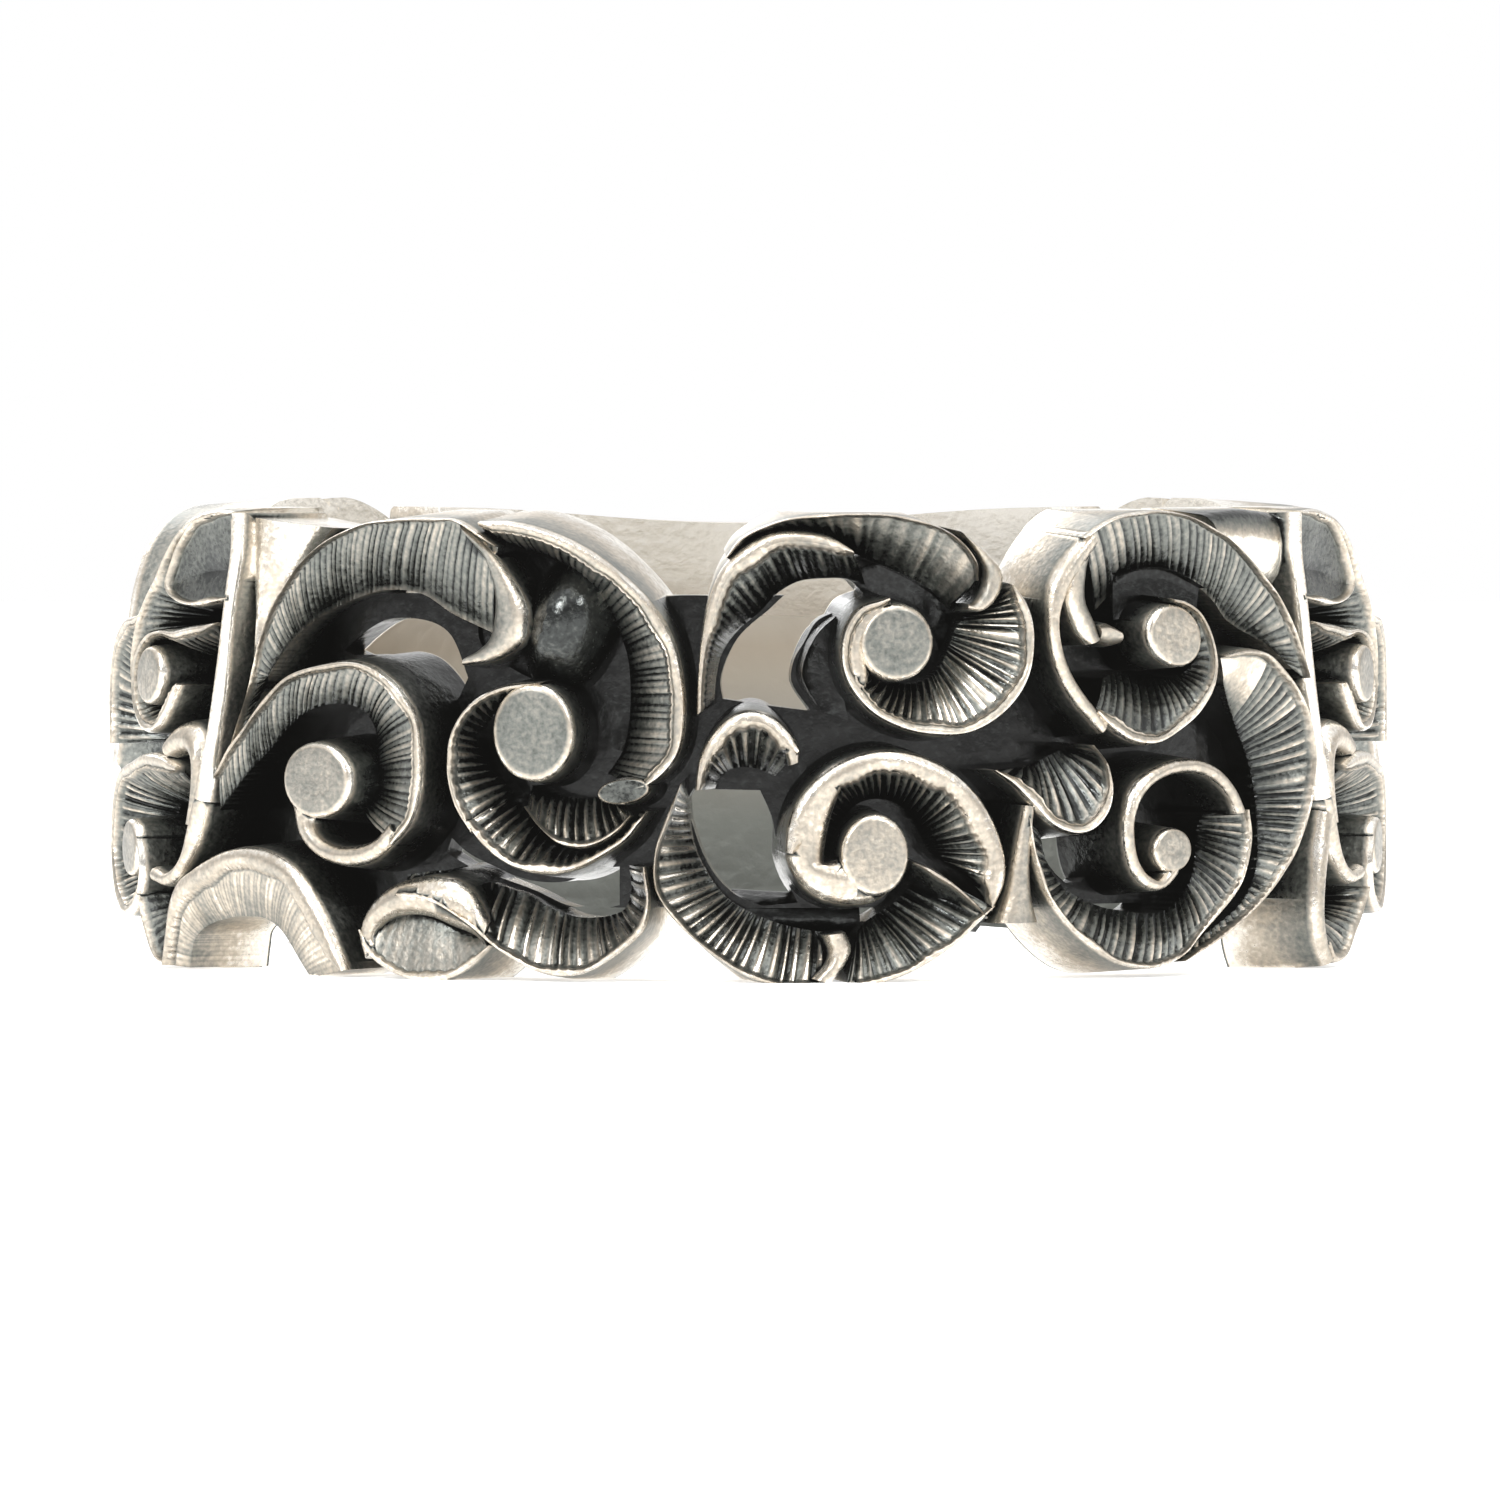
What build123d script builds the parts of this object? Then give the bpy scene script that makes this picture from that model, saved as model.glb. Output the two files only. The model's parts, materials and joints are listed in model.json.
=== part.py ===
from build123d import *
import math
import os
from typing import NamedTuple

# Driving dimensions, in millimetres and degrees
bore_diameter = 18.2
wall = 1.9  # from the bore to the rims of the scrolls
band_width = 7.8
floor_wall = 0.5  # closed floor between the scrolls, from the bore outwards
floor_low = 1.2  # height of that floor's lower edge
floor_high = 6.3  # height of that floor's upper edge
edge_draft = 0.17  # how far a scroll widens from its rim down to the bore
shank_width = 6.8  # at the back, where the band is narrowest
shank_wall = 1.5
shank_crown = 0.35  # how far the shank's outside falls from its middle to its edges
shank_shoulder = 0.2  # how far the shank's wide end stays inside the band's edges
shank_start = 144.0  # where the plain shank begins, either side of the front
facet_angle = 7.5

bore_r = bore_diameter / 2
outer_r = bore_r + wall
floor_r = bore_r + floor_wall
root_r = bore_r - wall / 8  # every scroll starts inside the bore and is cut back to it

# The ornament is charted as it looks from the front, on a sheet wrapped round the ring:
# chart_round columns to a full turn, counted from the front, and rows counted upwards from
# flat_row, where the lowest scrolls are flattened to rest on, to chart_height at the top
chart_round = 864
chart_height = 100
flat_row = 2.5
column = 2 * math.pi * outer_r / chart_round
row = band_width / (chart_height - flat_row)
lean_most = 0.65  # a foot is moved round by this share of its slope at the most
rim_most = 0.45  # a rim takes this share of its slope at the most
eye_sides = 12


class Section(NamedTuple):
    """One section across a scroll, as chart places of its rim's outer edge and of its foot."""

    rim_x: float
    rim_y: float
    foot_x: float
    foot_y: float


class Scroll(NamedTuple):
    """A horn, curl or web. Heights are shares of the wall; rim_wide is in chart columns."""

    rim_wide: float
    rim_high: float
    foot_high: float
    sections: list


class Eye(NamedTuple):
    """A raised flat disc at the heart of a curl, in chart places and degrees."""

    x: float
    y: float
    half_long: float
    half_high: float
    turn: float


def scroll(rim_wide, rim_high, foot_high, table):
    return Scroll(rim_wide, rim_high, foot_high, [Section(*line) for line in table])


def opening(table):
    return Scroll(0, 1, 1, [Section(*line) for line in table])


# Each line of a table is one section: rim_x, rim_y, foot_x, foot_y
leaf_scrolls = {
    "left_horn": scroll(3.2, 1, 0.5, [
        (-125, 50.5, -122, 51),
        (-112, 79, -106, 71.5),
        (-97, 93, -94.5, 78.7),
        (-87, 97, -87, 81.5),
        (-68, 98.6, -70.5, 82.4),
        (-61.5, 98, -63.5, 78.5),
        (-53.5, 93, -54, 74.5),
    ]),
    "left_face": scroll(0, 1, 1, [
        (-63, 98.4, -59.5, 93.5),
        (-56, 93, -56.3, 89.5),
        (-47, 79.5, -55.2, 79),
        (-48, 73, -56.2, 74.2),
        (-54, 69, -58.5, 71.3),
        (-61.5, 68, -61, 69.6),
    ]),
    "right_horn": scroll(4, 1, 0.5, [
        (-57.5, 98, -52.5, 92.5),
        (-50, 98, -46, 91),
        (-34, 92.8, -35.5, 86.4),
        (-20, 81.6, -27.4, 76.4),
        (-15.3, 74.5, -25, 70.8),
        (-12.4, 57.5, -24.3, 57.5),
        (-13.6, 50.7, -25.5, 51),
        (-21, 43, -29, 45.5),
    ]),
    "outer_volute": scroll(3.2, 1, 0.5, [
        (-131, 44, -129, 36.5),
        (-106, 65.7, -106.3, 54.3),
        (-89.5, 68.8, -92, 59.5),
        (-82.5, 67.4, -86, 58.3),
        (-72, 57, -82, 51),
        (-70.8, 49, -81.6, 46.5),
        (-73.5, 35, -83.5, 39.3),
        (-78, 30.5, -86, 37.5),
    ]),
    "outer_curl": scroll(0, 1, 1, [
        (-76.5, 32, -80, 34.8),
        (-84, 26.7, -84.3, 31.4),
        (-91.5, 25.5, -91, 29.9),
        (-99.5, 27.6, -97, 31),
        (-104.5, 31.6, -100.5, 34.2),
        (-107.5, 37, -99, 39.5),
        (-107.3, 48.5, -97, 48.5),
    ]),
    "inner_volute": scroll(3.2, 1, 0.5, [
        (-43, 64.8, -45, 61.5),
        (-57, 62, -54, 57.5),
        (-64.8, 52.3, -55.6, 50.5),
        (-63.4, 38.6, -51.3, 43.4),
        (-59.4, 33, -49, 40.5),
    ]),
    "inner_curl": scroll(3.2, 1, 0.5, [
        (-61.5, 36, -50.5, 41.5),
        (-52.5, 27.3, -45, 35.5),
        (-41, 24.8, -38, 30.5),
        (-29.5, 28.9, -30, 31.7),
        (-20.3, 38, -23.3, 38),
    ]),
    "fan": scroll(0, 1, 0.5, [
        (-47, 38.5, -45.5, 43),
        (-39.5, 31, -38.5, 40.8),
        (-35, 30.2, -35, 40.3),
        (-27.2, 33.4, -29.5, 41),
        (-24, 37, -27.5, 42),
    ]),
    "lower_horn": scroll(2.4, 1, 0.5, [
        (-77, 19.8, -74.5, 24.2),
        (-68.5, 18.4, -65.5, 25),
        (-45, 4.6, -42, 17.8),
        (-35, 4, -35, 15.6),
        (-21, 14, -25.3, 17.6),
        (-21, 26.5, -24.5, 26.5),
    ]),
    "bottom_leaf_top": scroll(0, 1, 1, [
        (-87, 11.5, -84.3, 11),
        (-85.8, 17, -81.5, 14.3),
        (-80.5, 21.8, -77, 15.7),
        (-74, 23.8, -71, 15.5),
        (-67, 24.4, -65.5, 13.6),
        (-60.5, 22, -60.5, 11.9),
        (-56, 15, -56.3, 9),
    ]),
    "bottom_leaf_low": scroll(2.2, 1, 0.78, [
        (-87, 12.5, -82.5, 13),
        (-85, 7.8, -79.5, 15),
        (-80.5, 4.6, -76, 15.8),
        (-69.5, 1.9, -67.5, 14.8),
        (-64, 3, -64, 13.4),
        (-54.5, 9.8, -57.5, 11.6),
    ]),
    "web": scroll(0, 0.4, 0.4, [
        (-57, 93.5, -50, 92.5),
        (-58, 88, -41, 90),
        (-57, 72, -27, 76),
        (-38, 62, -24, 60),
        (-35, 52, -26, 50),
    ]),
    "arch": scroll(6.5, 1, 0.5, [
        (-153, 5, -146, 3),
        (-145, 21, -138, 10.5),
        (-138, 26.5, -133, 12.3),
        (-124, 30.6, -124, 14),
        (-110, 28, -113, 12.8),
        (-104.5, 24, -108.5, 10.5),
        (-91.5, 7, -99, 2.6),
    ]),
}
leaf_eyes = {
    "outer_eye": Eye(-98.6, 43.6, 9.8, 8.1, 0),
    "inner_eye": Eye(-45.4, 54.3, 9.2, 10.4, 0),
    "right_tip": Eye(-25.7, 42.2, 5.8, 2.7, 8),
}
leaf_openings = {
    "crescent": opening([
        (-91, 70.3, -88, 69.3),
        (-86, 73.8, -82, 69.3),
        (-80, 76.8, -76.5, 66),
        (-73.5, 77.3, -71.5, 61.5),
        (-67, 76, -67.5, 59),
        (-63.4, 73, -64.5, 59),
        (-60, 65, -62, 61),
    ]),
    "low": opening([
        (-63.8, 31.5, -65, 28.5),
        (-60, 28.5, -59.5, 25.6),
        (-54.5, 26, -52, 23.3),
        (-47, 23.2, -44.5, 20.8),
        (-38, 22.8, -38, 18),
        (-31.5, 25.5, -31.5, 17),
        (-26.5, 26, -26.5, 18),
    ]),
}

twin_scrolls = {
    "left_horn": scroll(3.2, 1, 0.5, [
        (-10.4, 58, -6.6, 60),
        (-9.5, 74, -4.8, 71),
        (-4.8, 89, 3, 79.3),
        (6, 95.8, 11, 85.5),
        (18, 94.8, 21, 86),
        (22, 92.5, 25, 84.8),
    ]),
    "top_horn": scroll(1.6, 1, 0.5, [
        (-4.2, 90.8, -2.6, 89.6),
        (-1, 94.8, 3, 93.4),
        (6, 98, 9.5, 94.5),
        (28, 99.8, 25.5, 90),
        (46, 94, 38.5, 84),
        (49.5, 86, 43, 79.5),
    ]),
    "top_face": scroll(0, 1, 1, [
        (46, 96, 47.5, 94),
        (56, 87, 51.5, 87),
        (55.3, 82.8, 50.6, 83.3),
        (51.5, 79.4, 48.7, 81),
        (47.5, 79.7, 47.3, 81),
    ]),
    "upper_volute": scroll(3.6, 1, 0.5, [
        (30, 82.3, 30, 78.5),
        (23.5, 80.2, 25.5, 76.5),
        (20.2, 75, 23.7, 72),
        (22, 62.7, 27.5, 66.3),
        (27.3, 57.6, 31, 64.6),
        (42, 53.3, 38.5, 65.2),
        (49, 54.3, 40.5, 67),
        (59.7, 62.3, 43, 71.6),
        (62.7, 75.3, 45, 76.2),
        (57.5, 85, 51, 80.5),
    ]),
    "small_arch": scroll(4.6, 1, 0.5, [
        (-10.8, 42.5, -6.5, 42.5),
        (-7.5, 53.8, -3.6, 46.3),
        (-3.5, 57.8, -1.3, 46.9),
        (5.5, 58, 2.9, 46.5),
        (11.4, 51, 6, 45),
    ]),
    "arch_end": scroll(0, 1, 1, [
        (5.5, 58, 3.5, 54.5),
        (9.2, 54.8, 6.8, 52.3),
        (11.2, 48.3, 9, 47.5),
    ]),
    "lower_volute": scroll(5.2, 1, 0.5, [
        (8.3, 29.5, 18, 28.3),
        (11.5, 41.5, 20.5, 36),
        (17, 46.8, 23, 39),
        (24, 50, 26.5, 40.2),
        (38, 49.4, 33, 38.3),
        (50, 41.3, 36.7, 33),
        (54, 35, 37.7, 31),
        (56, 22.5, 41, 27.3),
        (53, 17, 45, 24.5),
    ]),
    "lower_tail": scroll(0, 1, 1, [
        (17, 46.8, 20.4, 42.3),
        (9, 36.5, 17.6, 34),
        (8.6, 27.5, 16.8, 27.5),
        (12, 22, 19.5, 28),
        (17.5, 18.9, 22.5, 28.5),
        (29, 19.6, 29, 28.5),
        (34.5, 29.3, 29.5, 30),
    ]),
    "fan": scroll(3, 1, 0.5, [
        (53.5, 18, 37, 25.5),
        (35, 4.4, 26.8, 16),
        (21, 1.3, 23, 12.5),
    ]),
    "fold": scroll(0, 1, 0.62, [
        (35.5, 27.5, 33, 24),
        (44, 23.3, 41, 18.5),
        (51.5, 16, 49, 12.5),
    ]),
    "left_web": scroll(0, 0.55, 0.5, [
        (16, 58.5, 21.5, 56.5),
        (11.6, 67, 20, 67),
        (18.5, 78, 22, 79.5),
    ]),
    "right_web": scroll(0, 0.4, 0.3, [
        (21, 87, 26, 81.5),
        (28, 89.5, 31, 81),
        (35, 86.8, 36.5, 79.5),
        (45, 78, 41, 71),
    ]),
    "low_web": scroll(0, 0.3, 0.3, [
        (-3, 22, -2, 14),
        (24, 20, 24, 11),
    ]),
    "hook": scroll(0, 1, 1, [
        (18, 2.2, 13.8, 3.4),
        (22.6, 9.6, 17.6, 9.2),
        (21.3, 12.9, 16.3, 12.3),
    ]),
    "lower_horn": scroll(3.2, 1, 0.5, [
        (-13.5, 44, -12.5, 41.5),
        (-19.3, 29.5, -10.5, 29.7),
        (-19.2, 22.3, -8, 24.8),
        (-16, 16.5, -5.5, 21.3),
        (1, 3.4, 5, 15.1),
        (17, 1.8, 17, 12.6),
    ]),
}
twin_eyes = {
    "upper_eye": Eye(31.8, 73, 8.1, 8.1, 0),
    "lower_eye": Eye(27.2, 29, 7.4, 8.6, 0),
}
twin_openings = {
    "upper": opening([
        (-4.8, 61, 13.5, 58.5),
        (-5.3, 65, 9.5, 64.5),
        (-4, 69.5, 10, 69),
        (-1, 74.5, 12, 72.5),
        (4.5, 79.3, 14.5, 76.8),
        (10, 83.8, 17.5, 78.6),
        (18, 85, 20.5, 79.4),
        (25, 82.8, 23.5, 80.6),
    ]),
    "lower": opening([
        (-11, 42.3, 3, 42),
        (-12.3, 39, 5.3, 36.8),
        (-11, 34.5, 6.3, 32),
        (-9, 29, 7.3, 27.5),
        (-6.3, 24.3, 8.6, 23),
        (-2, 20.2, 10, 20.3),
        (3.5, 17.9, 10.8, 18.6),
    ]),
}

crest_scrolls = {
    "left_rim": scroll(0, 1, 1, [
        (76, 95.8, 78.5, 93),
        (66.6, 84.5, 71.5, 83),
        (66, 78, 69.2, 77.5),
        (68.7, 65.5, 72, 66.5),
        (79, 53.5, 80.5, 55.5),
    ]),
    "tongue": scroll(0, 1, 0.94, [
        (75, 95, 77.5, 93),
        (71, 88, 76.5, 88),
        (71, 81, 76, 81.5),
        (76, 72, 79.3, 73.5),
    ]),
    "drip": scroll(0, 1, 0.9, [
        (79, 76.2, 78.5, 72.5),
        (84.3, 75, 84.3, 72.2),
    ]),
    "top_horn": scroll(2.2, 1, 0.5, [
        (74.5, 94.5, 77, 79),
        (85, 99.3, 86, 86.2),
        (92, 100, 92.3, 87.5),
        (108, 97, 104.5, 83.8),
        (131, 82.5, 117.5, 74.7),
        (144.6, 64, 136.5, 66),
    ]),
    "upper_volute": scroll(3, 1, 0.5, [
        (97.5, 81.6, 97.5, 78.4),
        (105.5, 78.7, 103, 76),
        (109, 74, 104.5, 72.5),
        (110.9, 68, 103.8, 68.5),
        (109.8, 62.5, 101, 66),
        (105.5, 57.3, 97.5, 65),
        (92.5, 51, 90, 65.7),
        (86, 51.8, 86, 66.3),
        (77.5, 58, 79, 65),
    ]),
    "right_horn": scroll(3.4, 1, 0.5, [
        (112.8, 69.6, 112.5, 63),
        (129, 69.4, 115.8, 56),
        (137, 64.4, 117.5, 53),
        (143.8, 58, 119.5, 49.8),
        (147.6, 50.5, 121.5, 46),
        (147.4, 43.5, 123, 41.5),
        (145.2, 36.3, 124, 36.7),
        (135.5, 24.3, 124, 26.2),
        (120, 14, 116.5, 16.2),
        (101, 5.6, 101, 8),
    ]),
    "lower_volute": scroll(0, 1, 1, [
        (102.5, 27.5, 98.5, 27.5),
        (95, 20.5, 94.6, 23),
        (87, 24.6, 89.4, 26.8),
        (85, 35.5, 88.2, 35.3),
        (86.7, 41.3, 90.3, 39.8),
        (91, 45.2, 93.7, 42.8),
        (105, 48, 105, 44.8),
        (112, 46, 111, 43),
        (121, 36.8, 118, 36),
    ]),
    "lower_horn": scroll(3, 1, 0.5, [
        (61, 36.5, 63.5, 33.5),
        (64, 22.3, 67.5, 23.5),
        (67.5, 16.8, 71, 20.5),
        (77.5, 8.2, 79.5, 17),
        (89, 4.4, 89.5, 15.6),
        (100.5, 6.6, 97.5, 17),
        (115, 17.6, 103.8, 25),
        (121.6, 27, 104.7, 30.7),
        (121, 37, 106.5, 35.8),
    ]),
    "leaf": scroll(2.8, 1, 0.5, [
        (53, 46.3, 56.5, 46.6),
        (66.5, 34.6, 63.5, 47.9),
        (72, 32.6, 65, 48.5),
        (77, 33.5, 66.5, 49.1),
        (80.7, 37, 68, 49.7),
        (81.7, 42, 69.3, 50.2),
        (76.8, 51.3, 71, 50.9),
    ]),
    "web": scroll(0, 0.3, 0.25, [
        (83, 86.3, 83, 77),
        (91, 88, 91, 78),
        (107, 83.5, 106, 76),
    ]),
    "stem": scroll(0, 1, 1, [
        (62.3, 39, 57.5, 39.5),
        (61.2, 28, 57.6, 28),
        (63.5, 17, 55, 17.5),
    ]),
}
crest_eyes = {
    "upper_eye": Eye(98.4, 73.7, 8, 6.4, -22),
    "lower_eye": Eye(97.8, 29, 5.4, 4.7, 0),
}
crest_openings = {
    "low": opening([
        (64, 32.5, 75, 31.5),
        (64.3, 28.5, 76.8, 28),
        (67, 24.5, 75.5, 24.5),
        (70, 22, 73.5, 22),
    ]),
    "high": opening([
        (82.6, 79.8, 86.3, 79.4),
        (82.6, 76.8, 86.4, 76.9),
    ]),
}

side_scrolls = {
    "stem": scroll(0, 1, 1, [
        (139, 99, 142.5, 99),
        (152.5, 38, 157.5, 39.5),
    ]),
    "leaf": scroll(2.2, 1, 0.86, [
        (141, 99.4, 143.4, 87.6),
        (155, 98.4, 149.5, 88),
        (169.2, 83.3, 152.5, 86.3),
        (157, 79, 149.5, 85.8),
        (142.5, 80.8, 144.5, 85.4),
    ]),
    "top_horn": scroll(2.4, 1, 0.5, [
        (148, 98.8, 150, 92),
        (157, 98, 158.5, 88),
        (179, 81.5, 169.5, 77.8),
        (189.5, 68.5, 177.5, 73.5),
        (189, 63.5, 181.5, 71.5),
    ]),
    "volute": scroll(3, 1, 0.5, [
        (147, 76, 152, 70.5),
        (180, 72.5, 178.5, 69.8),
        (186.8, 68, 183.5, 66.5),
        (189, 62, 184.5, 63),
        (187, 56.5, 183, 60),
        (181, 52.3, 178.5, 58.5),
        (173.5, 52.8, 174, 60),
        (162.5, 62.5, 169, 65.5),
    ]),
    "bulb": scroll(0, 1, 1, [
        (171.5, 51, 169, 46.3),
        (159.5, 54.8, 160.8, 47.3),
        (155.5, 51.5, 158.7, 45.2),
        (156.5, 33, 161, 33.5),
    ]),
    "crescent": scroll(3, 1, 0.5, [
        (184, 77, 184, 69),
        (196, 75.5, 192, 67),
        (206, 70, 199.5, 62),
        (212.5, 61, 204.5, 56),
        (211.5, 49, 203.5, 49.5),
    ]),
    "lower_stem": scroll(0, 1, 1, [
        (152, 40, 158, 38.5),
        (163.5, 22.3, 167, 24),
        (177.5, 20.5, 177, 24),
    ]),
    "left_leg": scroll(0, 1, 1, [
        (153, 36, 158, 34),
        (149.5, 20, 154.3, 20),
        (153, 5.6, 156, 9),
    ]),
    "lower_fan": scroll(2.4, 1, 0.5, [
        (150.5, 10, 157, 17),
        (156, 4.4, 160, 16),
        (163, 4.6, 163.5, 15),
        (181, 19, 174, 17.5),
    ]),
    "lower_volute": scroll(4, 1, 0.5, [
        (163, 45.5, 166, 38),
        (181, 47.8, 178.5, 38),
        (199, 44, 190, 37),
        (210, 32.5, 196.5, 31.5),
        (210, 25, 197, 27.8),
        (206, 18, 195.5, 24),
        (199, 13.5, 192.5, 21.3),
        (191, 13.2, 189, 21.3),
        (184.5, 17, 186, 24),
        (182, 23.5, 186.5, 27.5),
        (184, 29.5, 189, 30),
    ]),
}
side_eyes = {
    "eye": Eye(177.7, 64.3, 7.4, 6.2, -18),
    "lower_eye": Eye(190.5, 27.5, 6.2, 6.2, 0),
}
side_openings = {
    "upper": opening([
        (151, 68, 161, 67),
        (152.5, 63, 162, 62),
        (155, 58, 161, 58),
    ]),
    "lower": opening([
        (165, 37, 183, 36),
        (163.5, 32, 182, 30),
        (165, 28, 181.5, 25.5),
        (170, 24.5, 180, 22),
    ]),
}
side_turn = 16  # the left side's motif is the right one mirrored and moved on by this
back_turn = 363  # the leaf motif comes again behind each side, moved on by this
back_names = (
    "left_horn", "left_face", "right_horn", "outer_volute", "outer_curl",
    "inner_volute", "inner_curl", "lower_horn",
)


def place(x, y, radius):
    """The point at a chart place, at this radius."""
    turn = 2 * math.pi * x / chart_round
    return Vector(radius * math.sin(turn), -radius * math.cos(turn), (y - flat_row) * row)


def column_behind(x, radius):
    """The column at this radius that the front view shows where column x meets the outside."""
    seen = math.sin(2 * math.pi * x / chart_round) * outer_r / radius
    return math.asin(max(-1, min(1, seen))) * chart_round / (2 * math.pi)


def settle(x, radius, slope, facing):
    """Column and radius of a sunk point that looks from the front as charted."""
    if not facing or radius >= outer_r:
        return x, radius
    shift = column_behind(x, radius) - x
    share = min(1, lean_most * slope / max(abs(shift), 1e-6))
    if share == 1:
        return x + shift, radius
    settled = x + share * shift
    seen = outer_r * math.sin(2 * math.pi * x / chart_round)
    return settled, seen / math.sin(2 * math.pi * settled / chart_round)


def profile(section, shape, facing):
    """The closed outline of one section, from its widened base over the rim to its foot."""
    slope = math.hypot(section.foot_x - section.rim_x, section.foot_y - section.rim_y)
    rim_r = bore_r + wall * shape.rim_high
    foot_x, foot_r = settle(section.foot_x, bore_r + wall * shape.foot_high, slope, facing)
    rim_x, rim_r = settle(section.rim_x, rim_r, slope, facing)
    across = foot_x - rim_x
    up = section.foot_y - section.rim_y
    reach = math.hypot(across, up)
    base_x = rim_x - across / reach * edge_draft / column
    base_y = section.rim_y - up / reach * edge_draft / row
    outline = [place(base_x, base_y, root_r), place(rim_x, section.rim_y, rim_r)]
    if shape.rim_wide > 0:
        share = min(shape.rim_wide / reach, rim_most)
        outline.append(place(rim_x + share * across, section.rim_y + share * up, rim_r))
    outline.append(place(foot_x, section.foot_y, foot_r))
    outline.append(place(foot_x, section.foot_y, root_r))
    return outline


def closed_solid(triangles):
    """A solid from triangles that share their edges, turned to face outwards."""
    volume = sum(a.dot(b.cross(c)) for a, b, c in triangles)
    if volume < 0:
        triangles = [(c, b, a) for a, b, c in triangles]
    faces = [Face(Wire.make_polygon(corners, close=True)) for corners in triangles]
    return Solid(Shell(faces))


def skin(outlines):
    """The solid through a row of outlines with the same number of corners."""
    corners = len(outlines[0])
    triangles = []
    for near, far in zip(outlines, outlines[1:]):
        for i in range(corners):
            j = (i + 1) % corners
            triangles.append((near[i], near[j], far[j]))
            triangles.append((near[i], far[j], far[i]))
    first, last = outlines[0], outlines[-1]
    for i in range(1, corners - 1):
        triangles.append((first[0], first[i + 1], first[i]))
        triangles.append((last[0], last[i], last[i + 1]))
    return closed_solid(triangles)


def eye_solid(eye):
    """A drafted boss with its flat top on the ring's outside."""
    turn = math.radians(eye.turn)
    top, base = [], []
    for i in range(eye_sides):
        angle = 2 * math.pi * i / eye_sides
        for ring, radius, grow in ((top, outer_r, 0), (base, root_r, edge_draft)):
            across = (eye.half_long + grow / column) * math.cos(angle)
            up = (eye.half_high + grow / row) * math.sin(angle)
            x = eye.x + across * math.cos(turn) - up * math.sin(turn)
            y = eye.y + across * math.sin(turn) + up * math.cos(turn)
            ring.append(place(x, y, radius))
    return skin([base, top])


def opening_solid(shape, facing):
    """A cutter through the floor, straight out from the axis."""
    outlines = []
    for section in shape.sections:
        left = column_behind(section.rim_x, floor_r) if facing else section.rim_x
        right = column_behind(section.foot_x, floor_r) if facing else section.foot_x
        outlines.append([
            place(left, section.rim_y, root_r),
            place(left, section.rim_y, outer_r),
            place(right, section.foot_y, outer_r),
            place(right, section.foot_y, root_r),
        ])
    return skin(outlines)


class Motif:
    """A group of scrolls and eyes, and the openings through the floor behind them."""

    def __init__(self, scrolls, eyes, openings, facing=True):
        self.raised = [
            skin([profile(section, shape, facing) for section in shape.sections])
            for shape in scrolls.values()
        ]
        self.raised += [eye_solid(eye) for eye in eyes.values()]
        self.cutters = [opening_solid(shape, facing) for shape in openings.values()]

    def placed(self, columns=0, mirrored=False):
        """The raised solids and the cutters, turned round the ring by a number of columns."""
        turn = 360 * columns / chart_round
        moved = []
        for group in (self.raised, self.cutters):
            solids = [solid.mirror(Plane.YZ) for solid in group] if mirrored else group
            moved.append([solid.rotate(Axis.Z, turn) for solid in solids])
        return moved


def shank():
    """The plain back of the band, which narrows to its middle."""
    steps = round((360 - 2 * shank_start) / facet_angle)
    outlines = []
    for i in range(steps + 1):
        turn = shank_start + (360 - 2 * shank_start) * i / steps
        wide = 0.5 + 0.5 * math.cos(2 * math.pi * i / steps)
        half = ((band_width - 2 * shank_shoulder) * wide + shank_width * (1 - wide)) / 2
        thick = bore_r + wall * wide + shank_wall * (1 - wide)
        corners = [
            (root_r, -half),
            (thick - shank_crown, -half),
            (thick, -half / 2),
            (thick, half / 2),
            (thick - shank_crown, half),
            (root_r, half),
        ]
        x = turn / 360 * chart_round
        middle = (flat_row + chart_height) / 2
        outlines.append([place(x, middle + rise / row, radius) for radius, rise in corners])
    return skin(outlines)


def ring_band():
    """The whole ring: a pierced floor with the scrolls and the shank, bored for the finger."""
    leaf = Motif(leaf_scrolls, leaf_eyes, leaf_openings)
    twin = Motif(twin_scrolls, twin_eyes, twin_openings)
    crest = Motif(crest_scrolls, crest_eyes, crest_openings)
    side = Motif(side_scrolls, side_eyes, side_openings, facing=False)
    back = Motif({name: leaf_scrolls[name] for name in back_names}, leaf_eyes, leaf_openings)
    placed = [
        leaf.placed(),
        twin.placed(),
        crest.placed(),
        side.placed(),
        side.placed(columns=side_turn, mirrored=True),
        back.placed(columns=back_turn),
        back.placed(columns=-back_turn, mirrored=True),
    ]
    facets = round(360 / facet_angle)
    floor = extrude(RegularPolygon(floor_r, facets), floor_high - floor_low)
    floor = floor.translate((0, 0, floor_low))
    floor = floor - [cutter for raised, cutters in placed for cutter in cutters]
    raised = [solid for solids, cutters in placed for solid in solids]
    body = floor.fuse(shank(), *raised)
    standing = (Align.CENTER, Align.CENTER, Align.MIN)
    blank = Cylinder(outer_r + wall, band_width, align=standing)
    blank -= Cylinder(bore_r, band_width, align=standing)
    return body & blank


os.makedirs("parts", exist_ok=True)
band = ring_band()
export_step(band, "parts/ring_band.step")
print("ring_band", len(band.solids()), "solid,", round(band.volume, 2), "mm3")
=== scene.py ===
import json
import math
import random

import bpy
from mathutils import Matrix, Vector, bvhtree, kdtree


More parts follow.
